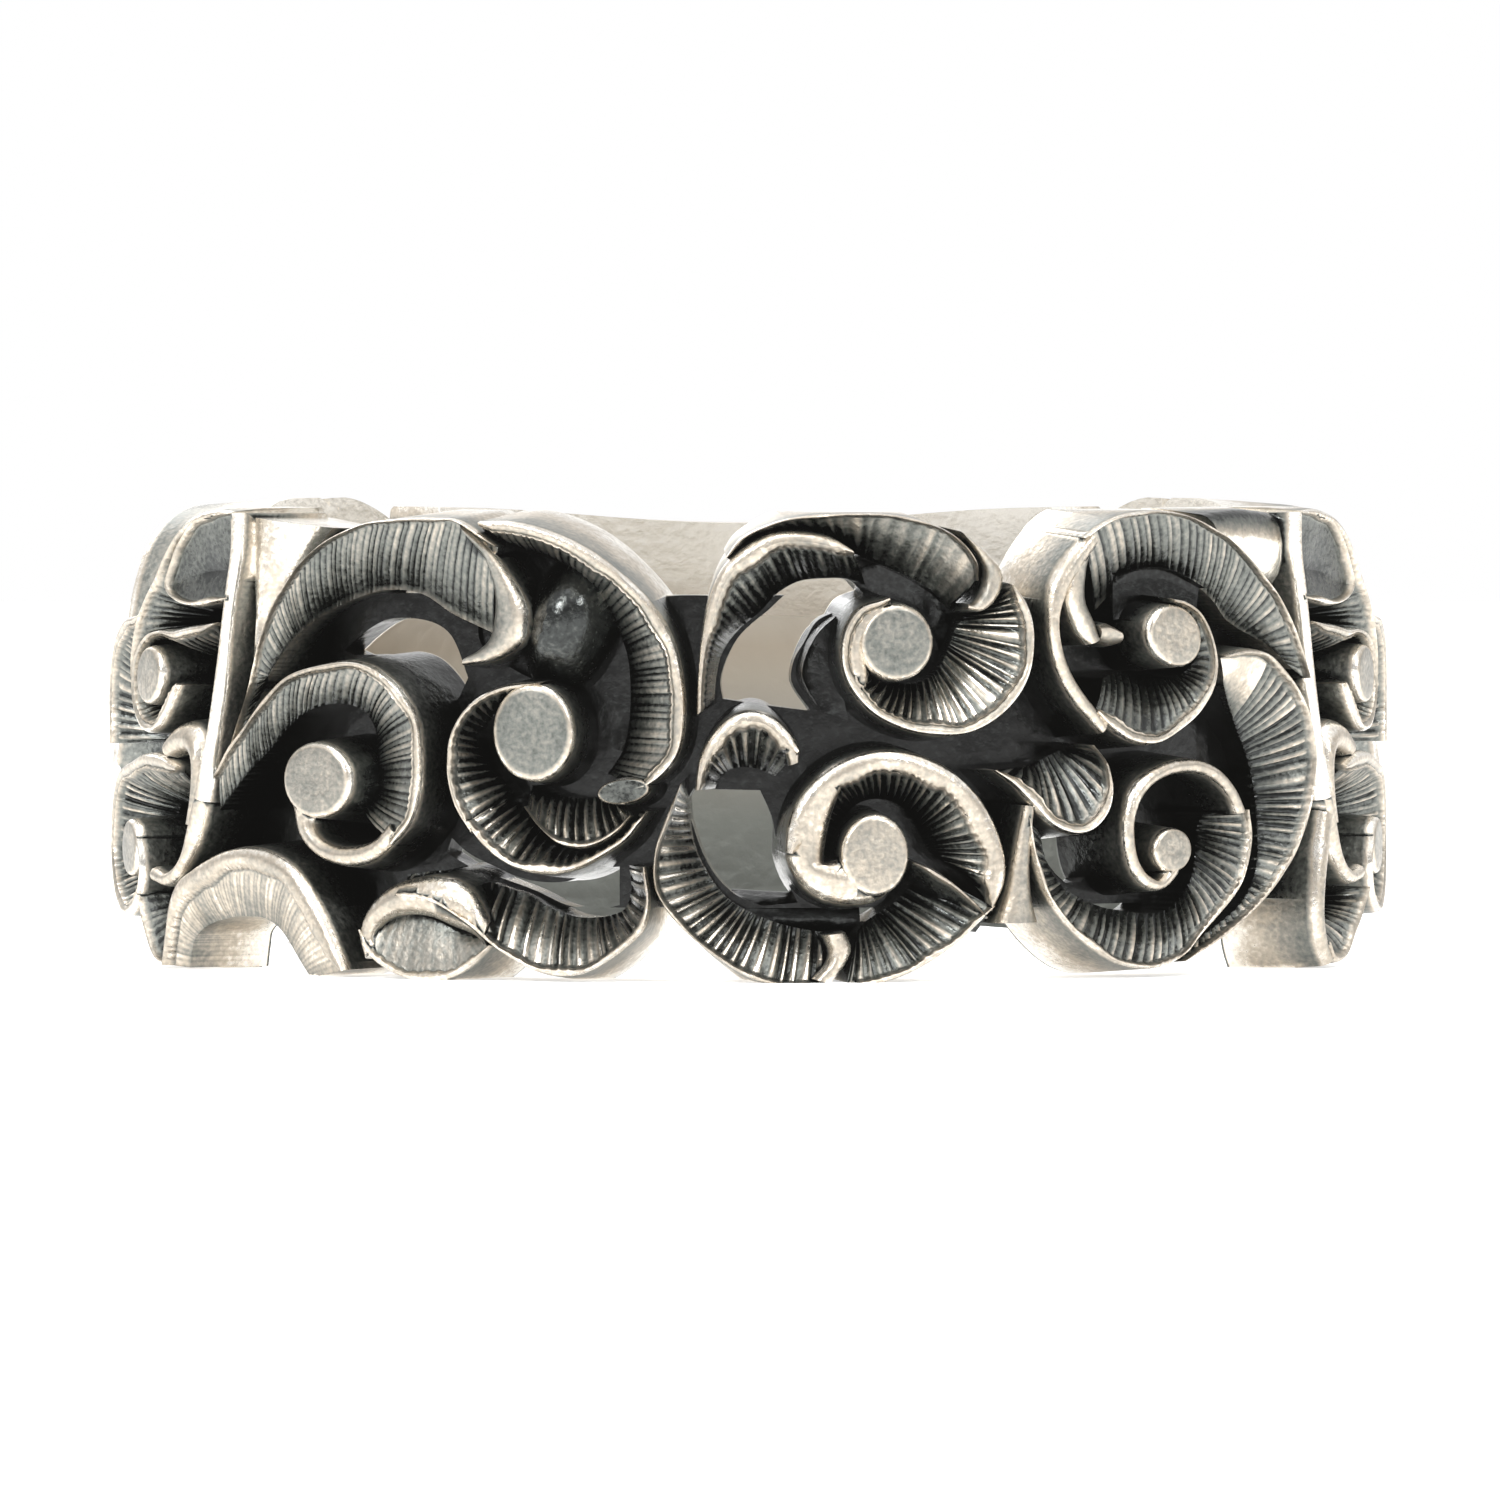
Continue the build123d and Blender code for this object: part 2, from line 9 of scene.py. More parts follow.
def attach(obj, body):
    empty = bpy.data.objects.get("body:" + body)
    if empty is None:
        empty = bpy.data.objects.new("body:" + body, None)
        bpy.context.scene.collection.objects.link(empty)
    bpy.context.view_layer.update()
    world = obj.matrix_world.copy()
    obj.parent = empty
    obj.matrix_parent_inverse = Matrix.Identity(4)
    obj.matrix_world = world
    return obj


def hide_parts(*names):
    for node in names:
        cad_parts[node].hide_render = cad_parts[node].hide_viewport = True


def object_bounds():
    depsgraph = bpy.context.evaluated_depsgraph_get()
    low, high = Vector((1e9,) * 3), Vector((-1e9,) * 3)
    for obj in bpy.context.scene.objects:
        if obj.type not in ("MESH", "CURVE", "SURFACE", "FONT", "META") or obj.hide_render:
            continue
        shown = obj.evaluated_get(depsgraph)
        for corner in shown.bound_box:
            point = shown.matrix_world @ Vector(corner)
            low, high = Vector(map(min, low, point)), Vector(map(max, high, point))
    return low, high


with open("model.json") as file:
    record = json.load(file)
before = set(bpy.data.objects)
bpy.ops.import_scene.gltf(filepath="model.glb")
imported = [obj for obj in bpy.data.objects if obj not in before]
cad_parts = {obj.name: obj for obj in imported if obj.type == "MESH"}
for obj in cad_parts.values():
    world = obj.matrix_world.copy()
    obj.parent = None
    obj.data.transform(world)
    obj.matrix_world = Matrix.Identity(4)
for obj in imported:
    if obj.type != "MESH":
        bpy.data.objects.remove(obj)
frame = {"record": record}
cadLow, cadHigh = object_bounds()
print("frame loaded")

# the ornament is charted as seen from the front, on a sheet wrapped round the ring: columns
# to a full turn from the front, rows up from the flat that the ring rests on
chart = {
    "columns": 864,
    "flatRow": 2.5,
    "topRow": 100,
    "lean": 0.65,  # a foot is moved round by this share of its slope at the most
}
ring = {
    "outer": (cadHigh.x - cadLow.x) / 2,
    "bore": frame["record"]["mounts"][0]["dims"]["r_mm"] / 1000,
    "width": cadHigh.z,
    "floorWall": 0.0005,
    "floorLow": 0.0012,
    "floorHigh": 0.0064,
    "floorSides": 180,
    "blankSides": 64,
    "boreSides": 240,
    "draft": 0.00017,  # how far a scroll widens down to the bore
    "smoothAngle": 38,
}
wall = ring["outer"] - ring["bore"]
rootRadius = ring["bore"] - wall / 8
floorRadius = ring["bore"] + ring["floorWall"]
column = 2 * math.pi * ring["outer"] / chart["columns"]
row = ring["width"] / (chart["topRow"] - chart["flatRow"])

# a scroll is a strip from its rim down to its foot: rim is the rim's width in columns, 0 for a
# flat band, high and foot are their heights as shares of the wall, pitch is the flutes' spacing
# in columns, plainTip the share of its length that has none, edge the least polish of its foot,
# and tones and worn scale the polish of a band's two edges and of the whole scroll; on the side
# pane the tones paint in a reflection instead. A row is rim x, rim y, foot x, foot y. An eye is
# a disc or, with a dome, a rounded boss, and an opening's row is left x, left y, right x, right y
leafMotif = {
    "scrolls": {
        "leftHorn": dict(rim=1.1, flutes="etched", pitch=1.7, edge=0.66, rows=[
            (-125, 50.5, -122, 51), (-122.5, 55.5, -118, 57), (-120, 60, -112.8, 63.2),
            (-117.5, 68, -112, 65.5), (-112, 79, -106, 71.5), (-105, 87, -101, 75.4),
            (-97, 93, -94.5, 78.7), (-87, 97, -87, 81.5), (-77, 98.4, -79, 83.3),
            (-68, 98.6, -70.5, 82.4), (-61.5, 98, -63.5, 78.5), (-53.5, 93, -54, 74.5),
        ]),
        "leftFace": dict(rim=0, foot=1, tones=(1.05, 0.55), rows=[
            (-63, 98.4, -59.5, 93.5), (-56, 93, -56.3, 89.5), (-50.5, 86.4, -55, 84.5),
            (-47, 79.5, -55.2, 79), (-48, 73, -56.2, 74.2), (-54, 69, -58.5, 71.3),
            (-61.5, 68, -61, 69.6),
        ]),
        "rightHorn": dict(rim=3.6, flutes="etched", pitch=1.9, rows=[
            (-57.5, 98, -52.5, 92.5), (-50, 98, -46, 91), (-42, 96.2, -40.5, 89.7),
            (-34, 92.8, -35.5, 86.4), (-26.5, 87.7, -31, 81.9), (-20, 81.6, -27.4, 76.4),
            (-15.3, 74.5, -25, 70.8), (-13, 66, -24.2, 64.8), (-12.4, 57.5, -24.3, 57.5),
            (-13.6, 50.7, -25.5, 51), (-16.6, 46, -27.5, 47.5), (-21, 43, -29, 45.5),
        ]),
        "outerVolute": dict(rim=3, flutes="etched", pitch=1.8, rows=[
            (-131, 44, -129, 36.5), (-126, 50, -124, 40.5), (-120, 55, -118.5, 45),
            (-113.3, 61.1, -112, 49.5), (-106, 65.7, -106.3, 54.3), (-97, 67.9, -100, 58),
            (-89.5, 68.8, -92, 59.5), (-82.5, 67.4, -86, 58.3), (-76.2, 63, -82.8, 55),
            (-72, 57, -82, 51), (-70.8, 49, -81.6, 46.5), (-71.3, 41, -82, 42),
            (-73.5, 35, -83.5, 39.3), (-78, 30.5, -86, 37.5),
        ]),
        "outerCurl": dict(rim=0, foot=1, rows=[
            (-76.5, 32, -80, 34.8), (-84, 26.7, -84.3, 31.4), (-91.5, 25.5, -91, 29.9),
            (-99.5, 27.6, -97, 31), (-104.5, 31.6, -100.5, 34.2), (-107.5, 37, -99, 39.5),
            (-108.6, 43, -97, 44), (-107.3, 48.5, -97, 48.5),
        ]),
        "innerVolute": dict(rim=2.2, flutes="ribbed", pitch=2.6, rows=[
            (-43, 64.8, -45, 61.5), (-51, 64.2, -50.5, 60), (-57, 62, -54, 57.5),
            (-61.7, 58.2, -55.5, 54.5), (-64.8, 52.3, -55.6, 50.5), (-65.2, 45.5, -53.8, 46.8),
            (-63.4, 38.6, -51.3, 43.4), (-59.4, 33, -49, 40.5),
        ]),
        "innerCurl": dict(rim=2.2, flutes="bright", pitch=2.8, rows=[
            (-61.5, 36, -50.5, 41.5), (-57.5, 31.2, -47.5, 38.5), (-52.5, 27.3, -45, 35.5),
            (-47, 25.2, -42, 32.5), (-41, 24.8, -38, 30.5), (-35, 26, -34, 30.3),
            (-29.5, 28.9, -30, 31.7), (-24.5, 32.4, -26, 34.3), (-20.3, 38, -23.3, 38),
        ]),
        "fan": dict(rim=1.4, flutes="bright", pitch=2.6, rows=[
            (-47, 38.5, -45.5, 43), (-43.6, 34.3, -42, 41.8), (-39.5, 31, -38.5, 40.8),
            (-35, 30.2, -35, 40.3), (-31, 31.2, -32, 40.5), (-27.2, 33.4, -29.5, 41),
            (-24, 37, -27.5, 42),
        ]),
        "lowerHorn": dict(rim=1.8, flutes="bright", pitch=2.8, rows=[
            (-77, 19.8, -74.5, 24.2), (-68.5, 18.4, -65.5, 25), (-61, 14.6, -58, 23.6),
            (-55, 10, -51, 21.6), (-50, 7, -46, 20), (-45, 4.6, -42, 17.8),
            (-40, 3.6, -38.5, 16.4), (-35, 4, -35, 15.6), (-30, 6.3, -31.3, 15.6),
            (-25, 9.8, -28, 16.2), (-21, 14, -25.3, 17.6), (-20, 20, -24, 21.5),
            (-21, 26.5, -24.5, 26.5),
        ]),
        "bottomLeafTop": dict(rim=0, foot=1, rows=[
            (-86.2, 6.5, -83.2, 9), (-87.4, 11.5, -84, 11.5), (-85.8, 17, -81.5, 14.3),
            (-80.5, 21.8, -77, 15.7), (-74, 23.8, -71, 15.5), (-67, 24.4, -65.5, 13.6),
            (-60.5, 22, -60.5, 11.9), (-56, 15, -56.3, 9),
        ]),
        "bottomLeafLow": dict(rim=2.2, foot=0.78, flutes="plain", pitch=3, rows=[
            (-87, 12.5, -82.5, 13), (-85, 7.8, -79.5, 15), (-80.5, 4.6, -76, 15.8),
            (-75, 2.6, -71.5, 15.6), (-69.5, 1.9, -67.5, 14.8), (-64, 3, -64, 13.4),
            (-58.5, 6, -60.5, 12), (-54.5, 9.8, -57.5, 11.6),
        ]),
        "web": dict(rim=0.5, high=0.4, foot=0.4, rows=[
            (-57, 93.5, -50, 92.5), (-58, 88, -41, 90), (-57.5, 80, -33, 84), (-57, 72, -27, 76),
            (-48, 66, -25, 70), (-38, 62, -24, 60), (-35, 52, -26, 50),
        ]),
        "arch": dict(rim=6, flutes="satin", pitch=1.6, rows=[
            (-155, 3.5, -141, 2.8), (-153.2, 10, -140, 7), (-150.8, 17.6, -138, 9.7),
            (-147, 21.8, -135.5, 11.2), (-141.8, 24, -131.5, 12.6), (-135.8, 26.2, -127.3, 13.4),
            (-129, 28.2, -124, 14), (-121.1, 29.2, -120, 14.2), (-113.7, 28.6, -115, 14.1),
            (-107.3, 26.3, -111, 13), (-103, 23.2, -108.5, 11.4), (-98.6, 18.3, -106, 9),
            (-95.3, 13.5, -104, 6.6), (-91.5, 7, -101, 3.2), (-90, 4.2, -99.5, 1.8),
        ]),
        "topWall": dict(rim=0, high=0.9, foot=0.72, tones=(1.15, 1.1), worn=1, rows=[
            (-124, 98.5, -95, 96), (-122.5, 91, -99.5, 92), (-121.5, 84, -103.5, 86),
            (-120.6, 77, -108, 80), (-120, 70, -112, 73), (-119.8, 63, -116, 65.5),
        ]),
    },
    "eyes": {
        "outerEye": dict(at=(-98.6, 43.6), half=(9.8, 8.1), turn=0, tone=0.56),
        "innerEye": dict(at=(-45.4, 54.3), half=(9.2, 10.4), turn=0, tone=0.44),
        "rightTip": dict(at=(-25.7, 42.2), half=(5.8, 2.7), turn=8, tone=0.28),
        "rightBulge": dict(
            at=(-40.6, 76.6), half=(10.8, 15.6), turn=-22, tone=0.2, high=0.97, dome=0.5,
        ),
    },
    "openings": {
        "crescent": [
            (-91, 70.3, -88, 69.3), (-86, 73.8, -82, 69.3), (-80, 76.8, -76.5, 66),
            (-73.5, 77.3, -71.5, 61.5), (-67, 76, -67.5, 59), (-63.4, 73, -64.5, 59),
            (-60, 65, -62, 61),
        ],
        "low": [
            (-63.8, 31.5, -65, 28.5), (-60, 28.5, -59.5, 25.6), (-54.5, 26, -52, 23.3),
            (-47, 23.2, -44.5, 20.8), (-38, 22.8, -38, 18), (-31.5, 25.5, -31.5, 17),
            (-26.5, 26, -26.5, 18),
        ],
    },
}

twinMotif = {
    "scrolls": {
        "leftHorn": dict(rim=4.6, flutes="dim", pitch=2, rows=[
            (-10.4, 58, -6.6, 60), (-10.2, 66, -6.2, 66), (-9.5, 74, -4.8, 71),
            (-8, 82, -1.5, 75.5), (-4.8, 89, 3, 79.3), (0.5, 93.5, 6.8, 83.2), (6, 95.8, 11, 85.5),
            (12, 96, 16, 86.1), (18, 94.8, 21, 86), (22, 92.5, 25, 84.8),
        ]),
        "topHorn": dict(rim=0.9, flutes="soft", pitch=3.2, rows=[
            (-4.2, 90.8, -2.6, 89.6), (-1, 94.8, 3, 93.4), (6, 98, 9.5, 94.5),
            (13, 99.4, 15.5, 93.8), (20.5, 99.8, 21, 92), (28, 99.8, 25.5, 90),
            (35, 98.9, 30.5, 88), (41, 97, 35, 86), (46, 94, 38.5, 84), (49.2, 90, 41.5, 81.7),
            (49.5, 86, 43, 79.5),
        ]),
        "topFace": dict(rim=0, foot=1, tones=(1.1, 0.75), rows=[
            (46, 96, 47.5, 94), (51.5, 92, 50.2, 90.5), (56, 87, 51.5, 87),
            (55.3, 82.8, 50.6, 83.3), (51.5, 79.4, 48.7, 81), (47.5, 79.7, 47.3, 81),
        ]),
        "upperVolute": dict(rim=2.9, flutes="bright", pitch=2.5, rows=[
            (30, 82.3, 30, 78.5), (23.5, 80.2, 25.5, 76.5), (20.2, 75, 23.7, 72),
            (19.8, 68.5, 25, 68.5), (22, 62.7, 27.5, 66.3), (27.3, 57.6, 31, 64.6),
            (34.5, 54.4, 35, 64.2), (42, 53.3, 38.5, 65.2), (49, 54.3, 40.5, 67),
            (55, 57.5, 42, 69.3), (59.7, 62.3, 43, 71.6), (62.2, 68.5, 43.8, 73.8),
            (62.7, 75.3, 45, 76.2), (61, 81, 47.5, 78.5), (57.5, 85, 51, 80.5),
        ]),
        "smallArch": dict(rim=4.6, flutes="ribbed", pitch=3.4, rows=[
            (-10.8, 42.5, -6.5, 42.5), (-10, 48.5, -5.3, 44.8), (-7.5, 53.8, -3.6, 46.3),
            (-3.5, 57.8, -1.3, 46.9), (1, 59.2, 0.8, 46.9), (5.5, 58, 2.9, 46.5),
            (9.2, 54.8, 4.6, 45.8), (11.4, 51, 6, 45),
        ]),
        "archEnd": dict(rim=0, foot=1, rows=[
            (5.5, 58, 3.5, 54.5), (9.2, 54.8, 6.8, 52.3), (11.4, 51, 8.6, 49.3),
            (11.2, 48.3, 9, 47.5),
        ]),
        "lowerVolute": dict(rim=5.6, flutes="ribbed", pitch=2.3, rows=[
            (8.3, 29.5, 18, 28.3), (8.7, 35.5, 19.3, 32), (11.5, 41.5, 20.5, 36),
            (17, 46.8, 23, 39), (24, 50, 26.5, 40.2), (31, 50.8, 30, 39.9), (38, 49.4, 33, 38.3),
            (44.5, 46.2, 35.3, 35.5), (50, 41.3, 36.7, 33), (54, 35, 37.7, 31), (56.2, 28, 39, 29),
            (56, 22.5, 41, 27.3), (53, 17, 45, 24.5),
        ]),
        "lowerTail": dict(rim=0, foot=1, rows=[
            (17, 46.8, 20.4, 42.3), (12, 42, 18.6, 37.8), (9, 36.5, 17.6, 34), (8.3, 31, 17, 30.5),
            (8.6, 27.5, 16.8, 27.5), (12, 22, 19.5, 28), (17.5, 18.9, 22.5, 28.5),
            (23.5, 18.2, 26, 28.5), (29, 19.6, 29, 28.5), (32.3, 23.5, 29.5, 29),
            (34.5, 29.3, 29.5, 30),
        ]),
        "fan": dict(rim=1.8, flutes="ribbed", pitch=2.3, rows=[
            (53.5, 18, 37, 25.5), (50, 14.6, 34.5, 22), (46, 11.2, 32, 19.3),
            (41, 7.6, 29.3, 17.4), (35, 4.4, 26.8, 16), (28, 2.2, 24.8, 14.5), (21, 1.3, 23, 12.5),
        ]),
        "fold": dict(rim=1.6, foot=0.62, rows=[
            (35.5, 27.5, 33, 24), (39.5, 26.2, 36.5, 22), (44, 23.3, 41, 18.5),
            (48.5, 19.5, 45.5, 15), (51.5, 16, 49, 12.5),
        ]),
        "leftWeb": dict(rim=0.5, high=0.55, rows=[
            (16, 58.5, 21.5, 56.5), (12.5, 63.5, 20.5, 62), (11.6, 67, 20, 67),
            (13, 71.5, 19.7, 71.5), (15.5, 75.5, 20, 75.5), (18.5, 78, 22, 79.5),
        ]),
        "rightWeb": dict(rim=0.5, high=0.4, foot=0.3, rows=[
            (21, 87, 26, 81.5), (28, 89.5, 31, 81), (35, 86.8, 36.5, 79.5), (41, 82.5, 39.5, 76),
            (45, 78, 41, 71),
        ]),
        "lowWeb": dict(rim=0, high=0.3, foot=0.3, rows=[
            (-3, 20.4, -2, 12), (8, 19.8, 8, 11), (24, 19.6, 24, 10.5),
        ]),
        "hook": dict(rim=0, foot=1, rows=[
            (18, 2.2, 13.8, 3.4), (21, 5.8, 16.8, 6.3), (22.6, 9.6, 17.6, 9.2),
            (21.3, 12.9, 16.3, 12.3),
        ]),
        "lowerHorn": dict(rim=1.1, flutes="bright", pitch=2.6, rows=[
            (-13.5, 44, -12.5, 41.5), (-16.8, 37, -12, 36), (-19.3, 29.5, -10.5, 29.7),
            (-19.2, 22.3, -8, 24.8), (-16, 16.5, -5.5, 21.3), (-11, 11.5, -2.5, 18.7),
            (-5, 6.9, 1, 16.8), (1, 3.4, 5, 15.1), (7, 2, 9, 13.9), (13, 1.8, 14, 12.9),
            (17, 1.8, 17, 12.6),
        ]),
        "upperTail": dict(rim=0, foot=1, rows=[
            (30.5, 81.8, 30.5, 78.4), (25.6, 80.6, 27.3, 76.5), (21.6, 76.9, 26, 73),
            (19.9, 71.8, 25.8, 69.5), (20.2, 66.6, 26.6, 66.2), (22.4, 62, 25.2, 63),
        ]),
    },
    "eyes": {
        "upperEye": dict(at=(31.8, 73), half=(8.1, 8.1), turn=0, tone=0.46),
        "lowerEye": dict(at=(27.2, 29), half=(7.4, 8.6), turn=0, tone=0.66),
    },
    "openings": {
        "upper": [
            (-4.8, 61, 13.5, 58.5), (-5.3, 65, 9.5, 64.5), (-4, 69.5, 10, 69),
            (-1, 74.5, 12, 72.5), (4.5, 79.3, 14.5, 76.8), (10, 83.8, 17.5, 78.6),
            (18, 85, 20.5, 79.4), (25, 82.8, 23.5, 80.6),
        ],
        "lower": [
            (-11, 42.3, 3, 42), (-12.3, 39, 5.3, 36.8), (-11, 34.5, 6.3, 32), (-9, 29, 7.3, 27.5),
            (-6.3, 24.3, 8.6, 23), (-2, 20.2, 10, 20.3), (3.5, 17.9, 10.8, 18.6),
        ],
    },
}

crestMotif = {
    "scrolls": {
        "leftRim": dict(rim=0, foot=1, rows=[
            (76, 95.8, 78.5, 93), (70, 90, 75, 88), (66.6, 84.5, 71.5, 83), (66, 78, 69.2, 77.5),
            (66.6, 71.5, 69.8, 71.8), (68.7, 65.5, 72, 66.5), (72.3, 60, 75.3, 62),
            (76, 56.5, 78.5, 58.5), (79, 53.5, 80.5, 55.5),
        ]),
        "tongue": dict(rim=0, foot=0.94, tones=(1.15, 0.72), rows=[
            (75, 95, 77.5, 93), (71, 88, 76.5, 88), (71, 81, 76, 81.5), (73, 75.5, 78.5, 77),
            (76, 72, 79.3, 73.5),
        ]),
        "drip": dict(rim=0, foot=0.9, tones=(0.9, 0.9), rows=[
            (79, 76.2, 78.5, 72.5), (81.5, 76.6, 81.5, 71.4), (84.3, 75, 84.3, 72.2),
        ]),
        "topHorn": dict(rim=1.1, flutes="etched", pitch=2.1, edge=0.66, rows=[
            (74.5, 94.5, 77, 79), (79, 97.4, 81, 82.5), (85, 99.3, 86, 86.2),
            (92, 100, 92.3, 87.5), (100, 99.3, 98.5, 86.2), (108, 97, 104.5, 83.8),
            (116, 93.2, 109.5, 80.5), (124, 88, 113, 77), (131, 82.5, 117.5, 74.7),
            (137, 76.5, 123, 72.7), (141.3, 70.5, 129.5, 70), (144.6, 64, 136.5, 66),
        ]),
        "upperVolute": dict(rim=3.2, flutes="dim", pitch=2.4, rows=[
            (97.5, 81.6, 97.5, 78.4), (101, 81, 100, 78), (105.5, 78.7, 103, 76),
            (109, 74, 104.5, 72.5), (110.9, 68, 103.8, 68.5), (109.8, 62.5, 101, 66),
            (105.5, 57.3, 97.5, 65), (99.5, 53.5, 94, 65), (92.5, 51, 90, 65.7),
            (86, 51.8, 86, 66.3), (80.5, 54.8, 82, 66), (77.5, 58, 79, 65),
        ]),
        "rightHorn": dict(rim=1.7, flutes="ribbed", pitch=2.4, plainTip=0.15, rows=[
            (112.8, 69.6, 112.5, 63), (120.5, 70.8, 114, 59.3), (129, 69.4, 115.8, 56),
            (137, 64.4, 117.5, 53), (143.8, 58, 119.5, 49.8), (147.6, 50.5, 121.5, 46),
            (147.4, 43.5, 123, 41.5), (145.2, 36.3, 124, 36.7), (141, 30, 124.3, 31.3),
            (135.5, 24.3, 124, 26.2), (128, 18.7, 121.5, 20.7), (120, 14, 116.5, 16.2),
            (110, 9, 108, 11.8), (101, 5.6, 101, 8),
        ]),
        "lowerVolute": dict(rim=0, foot=1, rows=[
            (102.5, 27.5, 98.5, 27.5), (99.5, 23, 96.8, 25.5), (95, 20.5, 94.6, 23),
            (90.5, 21.3, 91.5, 24.3), (87, 24.6, 89.4, 26.8), (85.2, 29.5, 88.3, 30.3),
            (85, 35.5, 88.2, 35.3), (86.7, 41.3, 90.3, 39.8), (91, 45.2, 93.7, 42.8),
            (98, 47.6, 98.7, 44.6), (105, 48, 105, 44.8), (112, 46, 111, 43),
            (117.5, 41.7, 115.7, 39.4), (121, 36.8, 118, 36),
        ]),
        "lowerHorn": dict(rim=1.7, flutes="ribbed", pitch=2.4, rows=[
            (61, 36.5, 63.5, 33.5), (62, 29, 65, 27.5), (64, 22.3, 67.5, 23.5),
            (67.5, 16.8, 71, 20.5), (72, 12.2, 75, 18.5), (77.5, 8.2, 79.5, 17),
            (83, 5.6, 84.5, 16.2), (89, 4.4, 89.5, 15.6), (95, 4.6, 94, 15.7),
            (100.5, 6.6, 97.5, 17), (105, 10.2, 100.5, 19.5), (110, 13.9, 102.5, 22),
            (115, 17.6, 103.8, 25), (119.2, 22, 104.4, 28), (121.6, 27, 104.7, 30.7),
            (122.4, 32, 105, 33.3), (121, 37, 106.5, 35.8),
        ]),
        "leaf": dict(rim=3, flutes="ribbed", pitch=3.8, rows=[
            (53, 46.3, 56.5, 46.6), (57.5, 43, 59.5, 46.8), (62, 38.6, 61.5, 47.2),
            (66.5, 34.6, 63.5, 47.9), (72, 32.6, 65, 48.5), (77, 33.5, 66.5, 49.1),
            (80.7, 37, 68, 49.7), (81.7, 42, 69.3, 50.2), (80.4, 47, 70.2, 50.4),
            (76.8, 51.3, 71, 50.9),
        ]),
        "web": dict(rim=0.5, high=0.3, foot=0.25, rows=[
            (83, 86.3, 83, 77), (91, 88, 91, 78), (99, 87, 99, 78), (107, 83.5, 106, 76),
        ]),
        "stem": dict(rim=0, foot=1, tones=(0.9, 0.8), rows=[
            (60.3, 39, 63, 38.5), (58.9, 33, 62.8, 33), (57.6, 26.5, 62.4, 26.5),
            (56.2, 20.5, 63.2, 20.5), (53.8, 14.5, 65, 14.5),
        ]),
    },
    "eyes": {
        "upperEye": dict(at=(98.4, 73.7), half=(8, 6.4), turn=-22, tone=0.66),
        "lowerEye": dict(at=(97.8, 29), half=(5.4, 4.7), turn=0, tone=0.64),
    },
    "openings": {
        "low": [
            (64, 32.5, 75, 31.5), (64.3, 28.5, 76.8, 28), (67, 24.5, 75.5, 24.5),
            (70, 22, 73.5, 22),
        ],
        "high": [
            (82.6, 79.8, 86.3, 79.4), (82.6, 76.8, 86.4, 76.9),
        ],
    },
}

